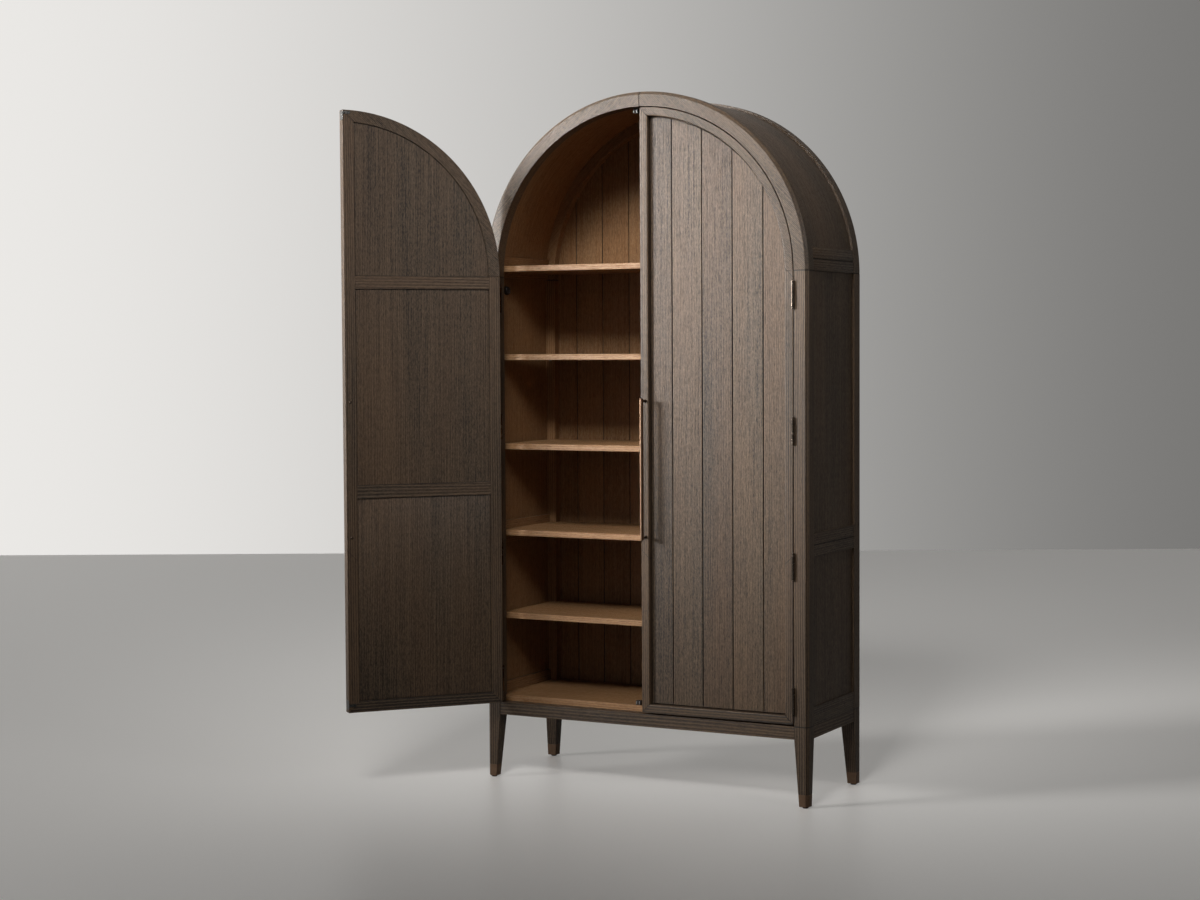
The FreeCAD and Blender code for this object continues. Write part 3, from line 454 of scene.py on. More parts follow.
class Recipe:
    """A node tree, and short ways to add to it."""

    def __init__(self, owner):
        owner.use_nodes = True
        self.owner = owner
        self.tree = owner.node_tree
        self.tree.nodes.clear()

    def feed(self, socket, value):
        """Links a socket to another, or sets its value."""
        if isinstance(value, bpy.types.NodeSocket):
            self.tree.links.new(value, socket)
        else:
            socket.default_value = value

    def add(self, kind, inputs=None, **settings):
        """Adds a node, with its settings and what feeds it."""
        node = self.tree.nodes.new("ShaderNode" + kind)
        for name, value in settings.items():
            setattr(node, name, value)
        for name, value in (inputs or {}).items():
            self.feed(node.inputs[name], value)
        return node

    def math(self, operation, first, second=0.0, third=0.0):
        """The result of a sum."""
        return self.add("Math", {0: first, 1: second, 2: third}, operation=operation).outputs[0]

    def join(self, x, y, z):
        """A vector from three numbers."""
        return self.add("CombineXYZ", {0: x, 1: y, 2: z}).outputs[0]

    def scaled(self, parts, *factors):
        """A vector from three numbers, each multiplied by its factor or by the last one."""
        factors += factors[-1:] * (3 - len(factors))
        return self.join(*(self.math("MULTIPLY", *pair) for pair in zip(parts, factors)))

    def noise(self, vector, detail=2.0, roughness=0.5):
        """Noise at a place, about 0.5."""
        inputs = {"Vector": vector, "Scale": 1.0, "Detail": detail, "Roughness": roughness}
        return self.add("TexNoise", inputs).outputs[0]

    def spread(self, value, low, high, to_low=0.0, to_high=1.0, curve="LINEAR"):
        """Maps low to high onto to_low to to_high, and no further."""
        inputs = {0: value, 1: low, 2: high, 3: to_low, 4: to_high}
        return self.add("MapRange", inputs, interpolation_type=curve).outputs[0]

    def blend(self, share, first, second):
        """Two colours mixed."""
        return self.add("Mix", {0: share, 6: first, 7: second}, data_type="RGBA").outputs[2]

    def bump(self, height, distance, strength):
        """The surface's direction where height varies."""
        inputs = {"Height": height, "Distance": distance, "Strength": strength}
        return self.add("Bump", inputs).outputs[0]

    def finish(self, **inputs):
        """Ends a material in a principled shader."""
        inputs = {name.replace("_", " "): value for name, value in inputs.items()}
        shader = self.add("BsdfPrincipled", inputs)
        self.add("OutputMaterial", {0: shader.outputs[0]})
        return self.owner


def once(build):
    """Lets a recipe make its material only where there is none of that name yet."""

    def named(name, *given, **settings):
        known = bpy.data.materials.get(name)
        return known or build(Recipe(bpy.data.materials.new(name)), *given, **settings)

    return named


def rgba(colour, factor=1.0):
    """A colour, made darker or paler by a factor, with full alpha."""
    return (*(part * factor for part in colour), 1.0)


def place(recipe, left_door=False):
    """The object's own X, Y and Z, as they are with the doors closed."""
    vector = recipe.add("TexCoord").outputs["Object"]
    if left_door:
        turn = Matrix.Rotation(OPEN_ANGLE, 3, "Z")
        axis = Vector((-HINGE.x, HINGE.y, 0))
        inputs = {"Vector": vector, "Rotation": (0, 0, OPEN_ANGLE), "Location": axis - turn @ axis}
        vector = recipe.add("Mapping", inputs, vector_type="POINT").outputs[0]
    return recipe.add("SeparateXYZ", {0: vector}).outputs[:]


def round_distance(recipe, x, z):
    """The distance from the case's middle plane below the spring line, and from its axis above."""
    above = recipe.math("MAXIMUM", recipe.math("SUBTRACT", z, SPRING), 0.0)
    squares = recipe.math("MULTIPLY_ADD", x, x, recipe.math("MULTIPLY", above, above))
    return recipe.math("SQRT", squares)


def along_grain(recipe, grain, x, y, z):
    """Two directions across the grain and one along it, in metres."""
    if grain == "level":
        return y, z, x
    if grain == "deep":
        return x, z, y
    if grain == "chord":
        side = recipe.math("ABSOLUTE", x)
        high = recipe.math("SUBTRACT", z, SPRING)
        half = math.sqrt(0.5)
        out = recipe.math("MULTIPLY", recipe.math("ADD", side, high), half)
        down = recipe.math("MULTIPLY", recipe.math("SUBTRACT", side, high), half)
        return out, y, down
    if grain == "round":
        high = recipe.math("SUBTRACT", z, SPRING)
        angle = recipe.math("ARCTAN2", x, high)
        return round_distance(recipe, x, z), y, recipe.math("MULTIPLY", angle, OUTER)
    return x, y, z


def boarded(recipe, x, first, width, alike):
    """A number from 0 to 1 for each board, from the first joint's place and the boards' width.

    Where both sides are alike, the boards on the left have the right ones' numbers."""
    across = recipe.math("ABSOLUTE", x) if alike else x
    place_on = recipe.math("DIVIDE", recipe.math("SUBTRACT", across, first), width)
    number = recipe.math("FLOOR", place_on)
    return recipe.add("TexWhiteNoise", {"W": number}, noise_dimensions="1D").outputs[0]


def grain_values(recipe, grain, cut, x, y, z, seed, chance):
    """How pale the oak is, from 0 to 1, its pores, and its slow changes of tone.

    Growth lines are (0.5 + 0.5 sin p)^1.5, where the phase p grows with the distance across
    the grain and wanders with a slow noise. Streaks and short flecks are stretched noises. The
    seed, and the board's own number, move the place that the noises are read at."""
    pitch, wander, weights = CUTS[cut]
    u, v, w = along_grain(recipe, grain, x, y, z)
    shift = recipe.math("MULTIPLY_ADD", chance, 5.3, seed) if chance else seed
    u = recipe.math("ADD", u, shift)
    w = recipe.math("ADD", w, recipe.math("MULTIPLY", shift, 2.7) if chance else seed * 2.7)

    def read(across, along, detail, roughness):
        return recipe.noise(recipe.scaled((u, v, w), across, across, along), detail, roughness)

    growth = read(5.0, 0.6, 2.0, 0.45)
    phase = recipe.math("MULTIPLY_ADD", v, 0.8, u)
    phase = recipe.math("MULTIPLY", phase, 2 * math.pi / pitch)
    phase = recipe.math("MULTIPLY_ADD", growth, wander, phase)
    lines = recipe.math("MULTIPLY_ADD", recipe.math("SINE", phase), 0.5, 0.5)
    lines = recipe.math("POWER", lines, 1.5)
    streaks = recipe.spread(read(210.0, 1.5, 4.0, 0.75), 0.32, 0.68)
    flecks = recipe.spread(read(300.0, 90.0, 3.0, 0.8), 0.36, 0.64)
    tone = recipe.spread(read(6.0, 0.9, 1.0, 0.5), 0.3, 0.7)
    pale = recipe.math("MULTIPLY", lines, weights[0])
    for value, weight in zip((streaks, flecks, tone), weights[1:]):
        pale = recipe.math("MULTIPLY_ADD", value, weight, pale)
    if chance:
        pale = recipe.math("ADD", pale, recipe.spread(chance, 0.0, 1.0, -0.08, 0.08))
    pale = recipe.spread(pale, 0.24, 0.76)
    pores = recipe.spread(read(900.0, 32.0, 1.0, 0.5), 0.58, 0.68)
    return pale, pores, tone


def oak_colour(recipe, tones, pale, pores, tone):
    """Mixes the grain's values into a colour, from the dark and the pale one in tones."""
    dark, light = tones
    colour = recipe.blend(pale, rgba(dark), rgba(light))
    warm = rgba([part * factor for part, factor in zip(light, (0.92, 0.70, 0.54))])
    colour = recipe.blend(recipe.math("MULTIPLY", tone, 0.3), colour, warm)
    return recipe.blend(recipe.math("MULTIPLY", pores, 0.6), colour, rgba(dark, 0.3))


def joints_and_painted_shade(recipe, bands, x, y, z):
    """1 in the darkened bands: painted shade in grooves and shadow gaps, and joint lines
    that are partly dark joints and partly painted shade.

    A band is a middle, a reach and four factors, for |x|, y, z and the round distance. It lies
    where their sum is within the reach of the middle, and fades over its outer third."""
    parts = (recipe.math("ABSOLUTE", x), y, z, round_distance(recipe, x, z))
    mask = 0.0
    for middle, reach, *factors in bands:
        total = -middle
        for part, factor in zip(parts, factors):
            if factor:
                total = recipe.math("MULTIPLY_ADD", part, factor, total)
        near = recipe.spread(recipe.math("ABSOLUTE", total), reach * 0.67, reach, 1.0, 0.0)
        mask = recipe.math("MAXIMUM", mask, near)
    return mask


def level_joint(z):
    """The band of a level joint's dark line, partly painted shade in its crease."""
    return (z, 0.0022, 0, 0, 1, 0)


def grooves(face):
    """The band of painted shade in the grooves of planks whose front lies at the depth face."""
    return (face + GROOVE_DEPTH, 0.0018, 0, 1, 0, 0)


def mitre(first, second, reach):
    """The band of a mitre's dark joint line, partly painted shade, from one corner (|x|, z) to the
    other.
    """
    run, rise = second[0] - first[0], second[1] - first[1]
    length = math.hypot(run, rise)
    across, up = -rise / length, run / length
    return (across * first[0] + up * first[1], reach, across, 0, up, 0)


def rear_inner(node):
    """Where a rear post or arch faces the inside, for oak."""
    return INNER + 0.0008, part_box(node)[0].y + 0.0015, PANEL_IN


def inside_mask(recipe, x, y, z, reach, depth=None, width=0):
    """1 where the piece faces the inside: nearer the middle than reach, or in front of depth."""
    away = round_distance(recipe, x, z)
    mask = recipe.math("LESS_THAN", away, reach)
    if depth is not None:
        before = recipe.math("LESS_THAN", y, depth)
        before = recipe.math("MULTIPLY", before, recipe.math("LESS_THAN", away, width))
        mask = recipe.math("MAXIMUM", mask, before)
    return mask


@once
def oak(
    recipe,
    tone="fumed",
    grain="upright",
    cut="rift",
    left_door=False,
    inner=None,
    boards=None,
    dark=(),
    seed=0.0,
):
    """Oak with open pores, running along the grain's direction.

    tone is fumed or natural, and cut is one of CUTS. inner gives natural oak on the side that
    faces the inside, and dark lists the bands painted darker: painted shade in grooves and gaps,
    and joint lines."""
    look = bpy.context.scene.cabinet_oak
    x, y, z = place(recipe, left_door)
    chance = boarded(recipe, x, *boards) if boards else None
    values = grain_values(recipe, grain, cut, x, y, z, seed, chance)
    tones = {
        "fumed": (look.fumed_dark, look.fumed_light),
        "natural": (look.natural_dark, look.natural_light),
    }
    colour = oak_colour(recipe, tones[tone], *values)
    if inner:
        mask = inside_mask(recipe, x, y, z, *inner)
        colour = recipe.blend(mask, colour, oak_colour(recipe, tones["natural"], *values))
    # Painted shade in grooves and gaps, and dark joint lines, towards a very dark fumed colour
    if dark:
        share = recipe.math("MULTIPLY", joints_and_painted_shade(recipe, dark, x, y, z), 0.9)
        colour = recipe.blend(share, colour, rgba(look.fumed_dark, 0.3))
    pale, pores, _ = values
    rough = recipe.math("MULTIPLY_ADD", pale, -0.12, look.roughness + 0.08)
    rough = recipe.math("MULTIPLY_ADD", pores, 0.25, rough)
    height = recipe.math("MULTIPLY_ADD", pores, -0.7, recipe.math("MULTIPLY", pale, 0.3))
    normal = recipe.bump(height, look.pore_depth, 0.7)
    return recipe.finish(
        Base_Color=colour, Roughness=rough, Normal=normal, Specular_IOR_Level=0.5
    )


@once
def worn_metal(recipe, colour, roughness, brushed):
    """Metal with fine brush marks along Z and a slight change of tone, like handled metal."""
    parts = place(recipe)
    marks = recipe.noise(recipe.scaled(parts, 2600.0, 2600.0, 90.0))
    patches = recipe.noise(recipe.scaled(parts, 55.0), 3.0)
    share = recipe.spread(patches, 0.3, 0.7, 0.0, 0.45)
    tone = recipe.blend(share, rgba(colour), rgba(colour, 0.55))
    rough = recipe.spread(patches, 0.3, 0.7, roughness - 0.07, roughness + 0.10)
    rough = recipe.math("MULTIPLY_ADD", marks, brushed * 0.2, rough)
    normal = recipe.bump(marks, 0.00004, brushed)
    return recipe.finish(Base_Color=tone, Roughness=rough, Normal=normal, Metallic=1.0)


def metal(name):
    """One of METALS."""
    setting, share, roughness, brushed = METALS[name]
    colour = [part * share for part in getattr(bpy.context.scene.cabinet_metal, setting)]
    return worn_metal(name, colour, roughness, brushed)


@once
def moulded_plastic(recipe):
    """Dark moulded plastic with a fine grain, for the glides, the catches and the cap."""
    colour = bpy.context.scene.cabinet_metal.plastic
    grain = recipe.noise(recipe.scaled(place(recipe), 900.0))
    tone = recipe.blend(recipe.spread(grain, 0.3, 0.7, 0.0, 0.3), rgba(colour), rgba(colour, 1.8))
    rough = recipe.spread(grain, 0.3, 0.7, 0.42, 0.58)
    return recipe.finish(Base_Color=tone, Roughness=rough, Normal=recipe.bump(grain, 0.0001, 0.4))


# Operators


class CABINET_OT_frame(bpy.types.Operator):
    """Finish the posts, legs and aprons"""

    bl_idname = "cabinet.frame"
    bl_label = "Posts, Legs and Aprons"

    def execute(self, context):
        ease = context.scene.cabinet_sizes.frame_ease
        # Dark lines at the spring line and where posts meet legs: partly joints, partly painted
        # shade
        joints = [level_joint(SPRING), level_joint(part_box("front_post_right")[0].z)]
        upright = oak("fumed_oak_upright", dark=joints)
        inner = rear_inner("rear_post_right")
        rear = oak("fumed_oak_rear_upright", inner=inner, dark=joints, seed=0.4)
        dress(sides("front_post", "leg_front", "leg_rear"), upright, ease)
        dress(sides("rear_post"), rear, ease)
        dress(["apron_front", "apron_rear"], oak("fumed_oak_level", grain="level"), ease)
        dress(sides("apron"), oak("fumed_oak_deep", grain="deep"), ease)
        return {"FINISHED"}


class CABINET_OT_arches(bpy.types.Operator):
    """Bend the front and rear arches over the posts"""

    bl_idname = "cabinet.arches"
    bl_label = "Arches"

    def execute(self, context):
        ease = context.scene.cabinet_sizes.frame_ease
        low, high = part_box("front_arch_right")
        front = [
            (INNER, low.y),
            (OUTER - CHAMFER, low.y),
            (OUTER, low.y + CHAMFER),
            (OUTER, high.y),
            (INNER, high.y),
        ]
        low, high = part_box("rear_arch_right")
        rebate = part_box("back_planks")[0].y
        rear = [
            (INNER, low.y),
            (OUTER, low.y),
            (OUTER, high.y),
            (INNER + BACK_REBATE, high.y),
            (INNER + BACK_REBATE, rebate),
            (INNER, rebate),
        ]
        # The crown's and spring line's dark lines: partly joints, partly painted shade in their
        # creases
        crown_joint = (0.0, 0.0016, 1, 0, 0, 0)
        looks = {"grain": "chord", "cut": "fine", "dark": [crown_joint, level_joint(SPRING)]}
        plain = oak("fumed_oak_arch", seed=0.8, **looks)
        inner = rear_inner("rear_arch_right")
        inside = oak("fumed_oak_rear_arch", inner=inner, seed=1.1, **looks)
        for stem, corners, material in (("front_arch", front, plain), ("rear_arch", rear, inside)):
            section = eased(corners, ease)
            for node, start in ((stem + "_right", 0), (stem + "_left", np.pi)):
                skins = [solid_bar(swung(section, start, np.pi / 2, 0.0014))]
                make("bent_" + node, skins, material, "case", [node])
        return {"FINISHED"}


class CABINET_OT_sides(bpy.types.Operator):
    """Finish the side rails and side panels"""

    bl_idname = "cabinet.sides"
    bl_label = "Side Rails and Panels"

    def execute(self, context):
        ease = context.scene.cabinet_sizes.frame_ease
        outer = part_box("side_rails_right")[1].x
        # The dark band just inside the rails' outer face is painted shade in their groove
        rails = oak(
            "fumed_oak_side_rails",
            grain="deep",
            cut="flat",
            inner=(PANEL_IN - 0.008,),
            dark=[(outer - 0.0017, 0.0012, 0, 0, 0, 1)],
            seed=0.2,
        )
        panels = oak("fumed_oak_side_panels", cut="flat", inner=(PANEL_IN + 0.002,), seed=1.7)
        dress(sides("side_rails"), rails, ease * 0.6)
        dress(sides("side_panels"), panels, FINE_EASE)
        return {"FINISHED"}


class CABINET_OT_roof(bpy.types.Operator):
    """Bend the curved top between the arches"""

    bl_idname = "cabinet.roof"
    bl_label = "Curved Top"

    def execute(self, context):
        low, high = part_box("roof_panel")
        hidden = 0.006
        start = math.acos(high.x / PANEL_OUT)
        corners = rectangle(PANEL_IN, PANEL_OUT, low.y + hidden, high.y - hidden)
        points = swung(eased(corners, 0.0004), start, np.pi - start, FINE_EASE, 160)
        material = oak(
            "fumed_oak_roof", grain="round", cut="flat", inner=(PANEL_IN + 0.002,), seed=2.3
        )
        skins = [solid_bar(points)]
        make("bent_roof_panel", skins, material, "case", ["roof_panel"])
        return {"FINISHED"}


class CABINET_OT_boards(bpy.types.Operator):
    """Finish the bottom board, the shelves and their pins"""

    bl_idname = "cabinet.boards"
    bl_label = "Bottom and Shelves"

    def execute(self, context):
        material = oak("natural_oak_boards", "natural", "level", "flat", seed=0.3)
        nodes = ["bottom_board"] + ["shelf_%d" % number for number in range(1, 6)]
        dress(nodes, material, context.scene.cabinet_sizes.board_ease)
        dress(["shelf_pins"], metal("bright_steel"), FINE_EASE)
        return {"FINISHED"}


class CABINET_OT_back(bpy.types.Operator):
    """Finish the planked back"""

    bl_idname = "cabinet.back"
    bl_label = "Back"

    def execute(self, context):
        low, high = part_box("back_planks")
        # The back's grooves are darkened: painted shade
        material = oak(
            "natural_oak_back",
            cut="flat",
            inner=(0.0, (low.y + high.y) / 2, 1.0),
            boards=(-4.5 * BACK_PLANK, BACK_PLANK, False),
            dark=[grooves(low.y)],
            seed=3.1,
        )
        dress(["back_planks"], material, context.scene.cabinet_sizes.plank_ease)
        return {"FINISHED"}


class CABINET_OT_door_frames(bpy.types.Operator):
    """Make the doors' mitred frames with their curved rails, and finish the cross rails"""

    bl_idname = "cabinet.door_frames"
    bl_label = "Door Frames"

    def execute(self, context):
        low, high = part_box("meeting_stile_right")
        near, far, foot, crown = DOOR_NEAR, DOOR_FAR, low.z, high.z
        width = CROSS_LOW.x - near
        corner = SPRING + math.sqrt((far - width) ** 2 - (near + width) ** 2)
        slope = (crown - corner) / width
        nose = 0.0008
        inset = 0.0002
        far_side = self.outline(far - inset, -1, width)
        near_side = self.outline(near + inset, 1, width)
        foot_side = self.outline(foot, 1, width)
        shapes = {
            "hinge_stile_": mitred(
                far_side, lambda x: foot + far - x, lambda x: np.full_like(x, SPRING), nose
            ),
            "meeting_stile_": mitred(
                near_side, lambda x: foot + x - near, lambda x: crown - (x - near) * slope, nose
            ),
            "bottom_rail_": mitred(
                foot_side, lambda z: near + z - foot, lambda z: far - z + foot, nose
            )[..., [2, 1, 0]],
            "top_rail_": self.curved_rail(far_side, near, crown, width, corner),
        }
        # The mitres' dark lines: partly joints, partly painted shade
        corners = [
            ((near, foot), (near + 1, foot + 1)),
            ((far, foot), (far - 1, foot + 1)),
            ((near, crown), (near + width, corner)),
        ]
        for side, carry in DOORS:
            reach = 0.0006 if carry else 0.0011
            looks = {"left_door": bool(carry), "dark": [mitre(*ends, reach) for ends in corners]}
            stiles = oak("fumed_oak_stiles_" + side, seed=0.6, **looks)
            rails = oak("fumed_oak_rails_" + side, grain="level", seed=0.9, **looks)
            bent = oak(
                "fumed_oak_curved_rail_" + side, grain="chord", cut="fine", seed=1.3, **looks
            )
            for (stem, points), wood in zip(shapes.items(), (stiles, stiles, rails, bent)):
                name, skins, nodes = "mitred_" + stem + side, [solid_bar(points)], [stem + side]
                make(name, skins, wood, "door_" + side, nodes, carry)
            dress(["cross_rails_" + side], rails, context.scene.cabinet_sizes.frame_ease * 0.6)
        return {"FINISHED"}

    def outline(self, outer, inward, width):
        """The frame's outline from its outer edge inwards: its face, and its wider lip behind."""
        low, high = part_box("meeting_stile_right")
        face = outer + inward * STILE_FACE
        inner = outer + inward * width
        corners = [
            (outer, low.y),
            (outer, high.y),
            (inner, high.y),
            (inner, CROSS_LOW.y),
            (face, CROSS_LOW.y),
            (face, low.y),
        ]
        sizes = bpy.context.scene.cabinet_sizes
        return eased(corners, [sizes.frame_ease] * 5 + [sizes.door_ease])

    def curved_rail(self, section, near, crown, width, corner):
        """The right door's curved rail, from the spring line up to its mitre.

        The mitre is the line P + s D between the frame's two corners, and each point at the
        radius r of the outline ends where that line meets its circle: |P + s D| = r."""
        top = np.array([near, crown - SPRING])
        line = np.array([near + width, corner - SPRING]) - top
        a = line @ line
        b = 2 * top @ line
        c = top @ top - section[:, 0] ** 2
        s = (-b - np.sqrt(np.maximum(b * b - 4 * a * c, 0))) / (2 * a)
        end = np.arccos((top[0] + s * line[0]) / section[:, 0])
        return swung(section, 0.0, end, 0.0012)


class CABINET_OT_door_panels(bpy.types.Operator):
    """Finish the doors' planks and the panels behind them"""

    bl_idname = "cabinet.door_panels"
    bl_label = "Door Planks"

    def execute(self, context):
        low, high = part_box("planks_right")
        first = (low.x + high.x) / 2 - 1.5 * DOOR_PLANK
        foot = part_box("meeting_stile_right")[0].z + CROSS_LOW.x - DOOR_NEAR
        # Bands along the lining's edges, by the stiles, curved rail and cross rails: painted shade
        reach = 0.002
        # where the frame stands over the lining
        edges = [(CROSS_LOW.x, reach, 1, 0, 0, 0), (CROSS_HIGH.x, reach, 0, 0, 0, 1)]
        rails = (CROSS_LOW.z, CROSS_LOW.z + CROSS_RAIL_TALL, CROSS_HIGH.z - CROSS_RAIL_TALL)
        edges += [(level, reach, 0, 0, 1, 0) for level in (foot, *rails, CROSS_HIGH.z)]
        for side, carry in DOORS:
            looks = {"cut": "flat", "left_door": bool(carry)}
            # The planks' grooves are darkened: painted shade
            planks = oak(
                "fumed_oak_planks_" + side,
                boards=(first, DOOR_PLANK, True),
                dark=[grooves(low.y)],
                seed=2.0,
                **looks,
            )
            lining = oak("fumed_oak_lining_" + side, dark=edges, seed=4.0, **looks)
            dress(["planks_" + side], planks, context.scene.cabinet_sizes.plank_ease)
            dress(["lining_panels_" + side], lining, FINE_EASE)
        return {"FINISHED"}


class CABINET_OT_hinges(bpy.types.Operator):
    """Make the butt hinges with their knuckles, pins and screws"""

    bl_idname = "cabinet.hinges"
    bl_label = "Hinges"

    def execute(self, context):
        low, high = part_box("hinge_pins")
        tall = 0.090
        tip = 0.003
        thick = 0.0022
        case = []
        door = []
        pins = []
        for level in np.linspace(low.z + tip + tall / 2, high.z - tip - tall / 2, 4):
            case += self.leaf((INNER, INNER + thick), level, tall, (0, 2, 4), -1)
            door += self.leaf((DOOR_FAR - thick, DOOR_FAR), level, tall, (1, 3), 1)
            pins.append(self.pin(level, tall, tip))
        material = metal("hinge_metal")
        for side, carry, carry_door in (("right", None, None), ("left", mirrored, opened)):
            nodes = ["case_leaves_" + side]
            make("hinge_case_" + side, case, material, "case", nodes, carry)
            body, nodes = "door_" + side, ["door_leaves_" + side]
            make("hinge_door_" + side, door, material, body, nodes, carry_door)
        pins = both_sides(pins)
        make("hinge_round_pins", pins, material, "case", ["hinge_pins"])
        return {"FINISHED"}

    def leaf(self, plate, level, tall, own, towards):
        """A leaf, its own knuckles out of five, and three screws in its face."""
        gap = 0.0004
        deep = 0.030
        bore, radius = 0.00258, 0.005
        step = (tall - 4 * gap) / 5 + gap
        foot = level - tall / 2
        skins = [slab(*plate, FRONT + gap, FRONT + deep, foot, foot + tall, FINE_EASE)]
        for knuckle in own:
            base = foot + knuckle * step
            top = base + step - gap
            skins.append(slab(*plate, HINGE.y + 0.003, FRONT + 2 * gap, base, top, 0.0002))
            ring = eased(rectangle(bore, radius, base, top), 0.0005)
            skins.append(solid_ring(turned(ring, (HINGE.x, HINGE.y, 0), "z", 36)))
        face = plate[0] if towards < 0 else plate[1]
        for rise, depth in ((-0.3, 0.012), (0.0, 0.021), (0.3, 0.012)):
            centre = (face, FRONT + depth, level + rise * tall)
            skins.append(solid_turned(screw_head(centre, "x", 0.0032, 0.0003, towards)))
        return skins

    def pin(self, level, tall, tip):
        """A pin whose ends are domed."""
        high = level + tall / 2 + tip
        low = level - tall / 2 - tip
        quarter = np.linspace(0, np.pi / 2, 7)
        radius = 0.0025
        top = np.stack([radius * np.cos(quarter), high - radius * (1 - np.sin(quarter))], -1)
        bottom = np.stack([radius * np.sin(quarter), low + radius * (1 - np.cos(quarter))], -1)
        profile = np.concatenate([bottom, top])
        return solid_turned(turned(profile, (HINGE.x, HINGE.y, 0), "z", 28))


class CABINET_OT_handles(bpy.types.Operator):
    """Make the bar handles with their posts and screws"""

    bl_idname = "cabinet.handles"
    bl_label = "Handles"

    def execute(self, context):
        low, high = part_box("handle_bar_right")
        section = eased(rectangle(low.x, high.x, low.y, high.y), 0.0030, 6)
        rod = [solid_bar(bar(section, low.z, high.z, 0.0010))]
        post_inset = 0.010
        posts = []
        for height in (low.z + post_inset, high.z - post_inset):
            posts += self.fixings((low.x + high.x) / 2, height, high.y)
        make_on_doors(
            ("bronze_bar_", rod, metal("aged_bronze"), "bronze", "handle_bar_"),
            ("bar_posts_", posts, metal("blackened_metal"), "black_metal", "handle_fixings_"),
        )
        return {"FINISHED"}

    def fixings(self, x, z, bar_back):
        """A post with a small collar where it meets the door, and the screw's head on the door's
        inner face.
        """
        reach = bar_back - FRONT
        profile = [
            (0, 0),
            (0.0052, 0),
            (0.0056, 0.08 * reach),
            (0.0052, 0.14 * reach),
            (0.0042, 0.2 * reach),
            (0.0040, 0.5 * reach),
            (0.0040, 0.94 * reach),
            (0.0038, reach),
            (0, reach),
        ]
        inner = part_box("hinge_stile_right")[1].y
        return [
            solid_turned(turned(profile, (x, FRONT, z), "y")),
            solid_turned(screw_head((x, inner, z), "y", 0.0044, 0.0024, 1)),
        ]


class CABINET_OT_catches(bpy.types.Operator):
    """Make the magnet catches and the strike plates"""

    bl_idname = "cabinet.catches"
    bl_label = "Catches"

    def execute(self, context):
        low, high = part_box("catch_bodies")
        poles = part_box("catch_poles")
        near, far, tall = 0.024, 0.044, 0.016
        thick = 0.003
        inset = 0.003
        bodies = []
        plates = []
        for base in (low.z, high.z - tall):
            bodies.append(slab(near, far, low.y, high.y, base, base + tall, 0.0012))
            ends = (poles[0].y, low.y + 0.002, base + inset, base + tall - inset, FINE_EASE)
            for x in (0.0270, 0.0380):
                plates.append(slab(x, x + thick, *ends))
        bodies = both_sides(bodies)
        plates = both_sides(plates)
        plastic = moulded_plastic("dark_plastic")
        make("magnet_cases", bodies, plastic, "case", ["catch_bodies"])
        make("magnet_poles", plates, metal("bright_steel"), "case", ["catch_poles"])
        # Steel darkened as painted shade, for the strike plates
        steel = metal("polished_steel")
        make_on_doors(("bent_strikes_", self.strikes(), steel, "steel", "strike_plates_"))
        return {"FINISHED"}

    def strikes(self):
        """The right door's strike plates: an edge leg and a face leg each, with two screws."""
        low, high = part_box("strike_plates_right")
        thick = 0.0015
        edge_tall, face_tall = 0.030, 0.010
        skins = []
        for base, face in (
            (low.z, low.z + 0.008),
            (high.z - edge_tall, high.z - face_tall),
        ):
            ends = (low.y, high.y - 0.0002, base, base + edge_tall, FINE_EASE)
            skins.append(slab(low.x, low.x + thick, *ends))
            ends = (high.y - thick, high.y, face, face + face_tall, FINE_EASE)
            skins.append(slab(low.x, high.x, *ends))
            for x in (low.x + 0.007, low.x + 0.021):
                centre = (x, high.y, face + face_tall / 2)
                skins.append(solid_turned(screw_head(centre, "y", 0.0024, 0.0004, 1)))
        return skins


class CABINET_OT_feet(bpy.types.Operator):
    """Make the metal ferrules and the glides"""

    bl_idname = "cabinet.feet"
    bl_label = "Ferrules and Glides"
    foot_width = 0.033
    foot_depth = 0.031

    def execute(self, context):
        low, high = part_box("ferrules")
        centre_x = OUTER - self.foot_width / 2
        profile = [(0, 0), (0.0085, 0), (0.0098, 0.0012), (0.0100, 0.0022)]
        profile += [(0.0100, low.z), (0, low.z)]
        shoes = []
        glides = []
        for centre_y in (FRONT + self.foot_depth / 2, REAR - self.foot_depth / 2):
            shoes.append(solid_bar(self.shoe(centre_y < 0, low.z, high.z)))
            glides.append(solid_turned(turned(profile, (centre_x, centre_y, 0), "z")))
        shoes = both_sides(shoes)
        glides = both_sides(glides)
        plastic = moulded_plastic("dark_plastic")
        make("bronze_shoes", shoes, metal("aged_bronze"), "case", ["ferrules"])
        make("round_glides", glides, plastic, "case", ["glides"])
        return {"FINISHED"}

    def shoe(self, front, low, high):
        """A ferrule, whose inner faces come in by 17 and 19 mm over the leg's 220 mm taper."""
        ease = 0.0008
        levels = np.array([low, low + ease, (low + high) / 2, high - ease, high])
        share = (levels - low) / 0.220
        width = self.foot_width + 0.017 * share
        depth = self.foot_depth + 0.019 * share
        rings = []
        for x, y, inset in zip(width, depth, (ease, 0, 0, 0, ease)):
            if front:
                corners = [
                    (OUTER - x, FRONT),
                    (OUTER - CHAMFER, FRONT),
                    (OUTER, FRONT + CHAMFER),
                    (OUTER, FRONT + y),
                    (OUTER - x, FRONT + y),
                ]
            else:
                corners = rectangle(OUTER - x, OUTER, REAR - y, REAR)
            rings.append(drawn_in(eased(corners, 0.0012), inset, 2)[0])
        return raised(np.array(rings), levels)


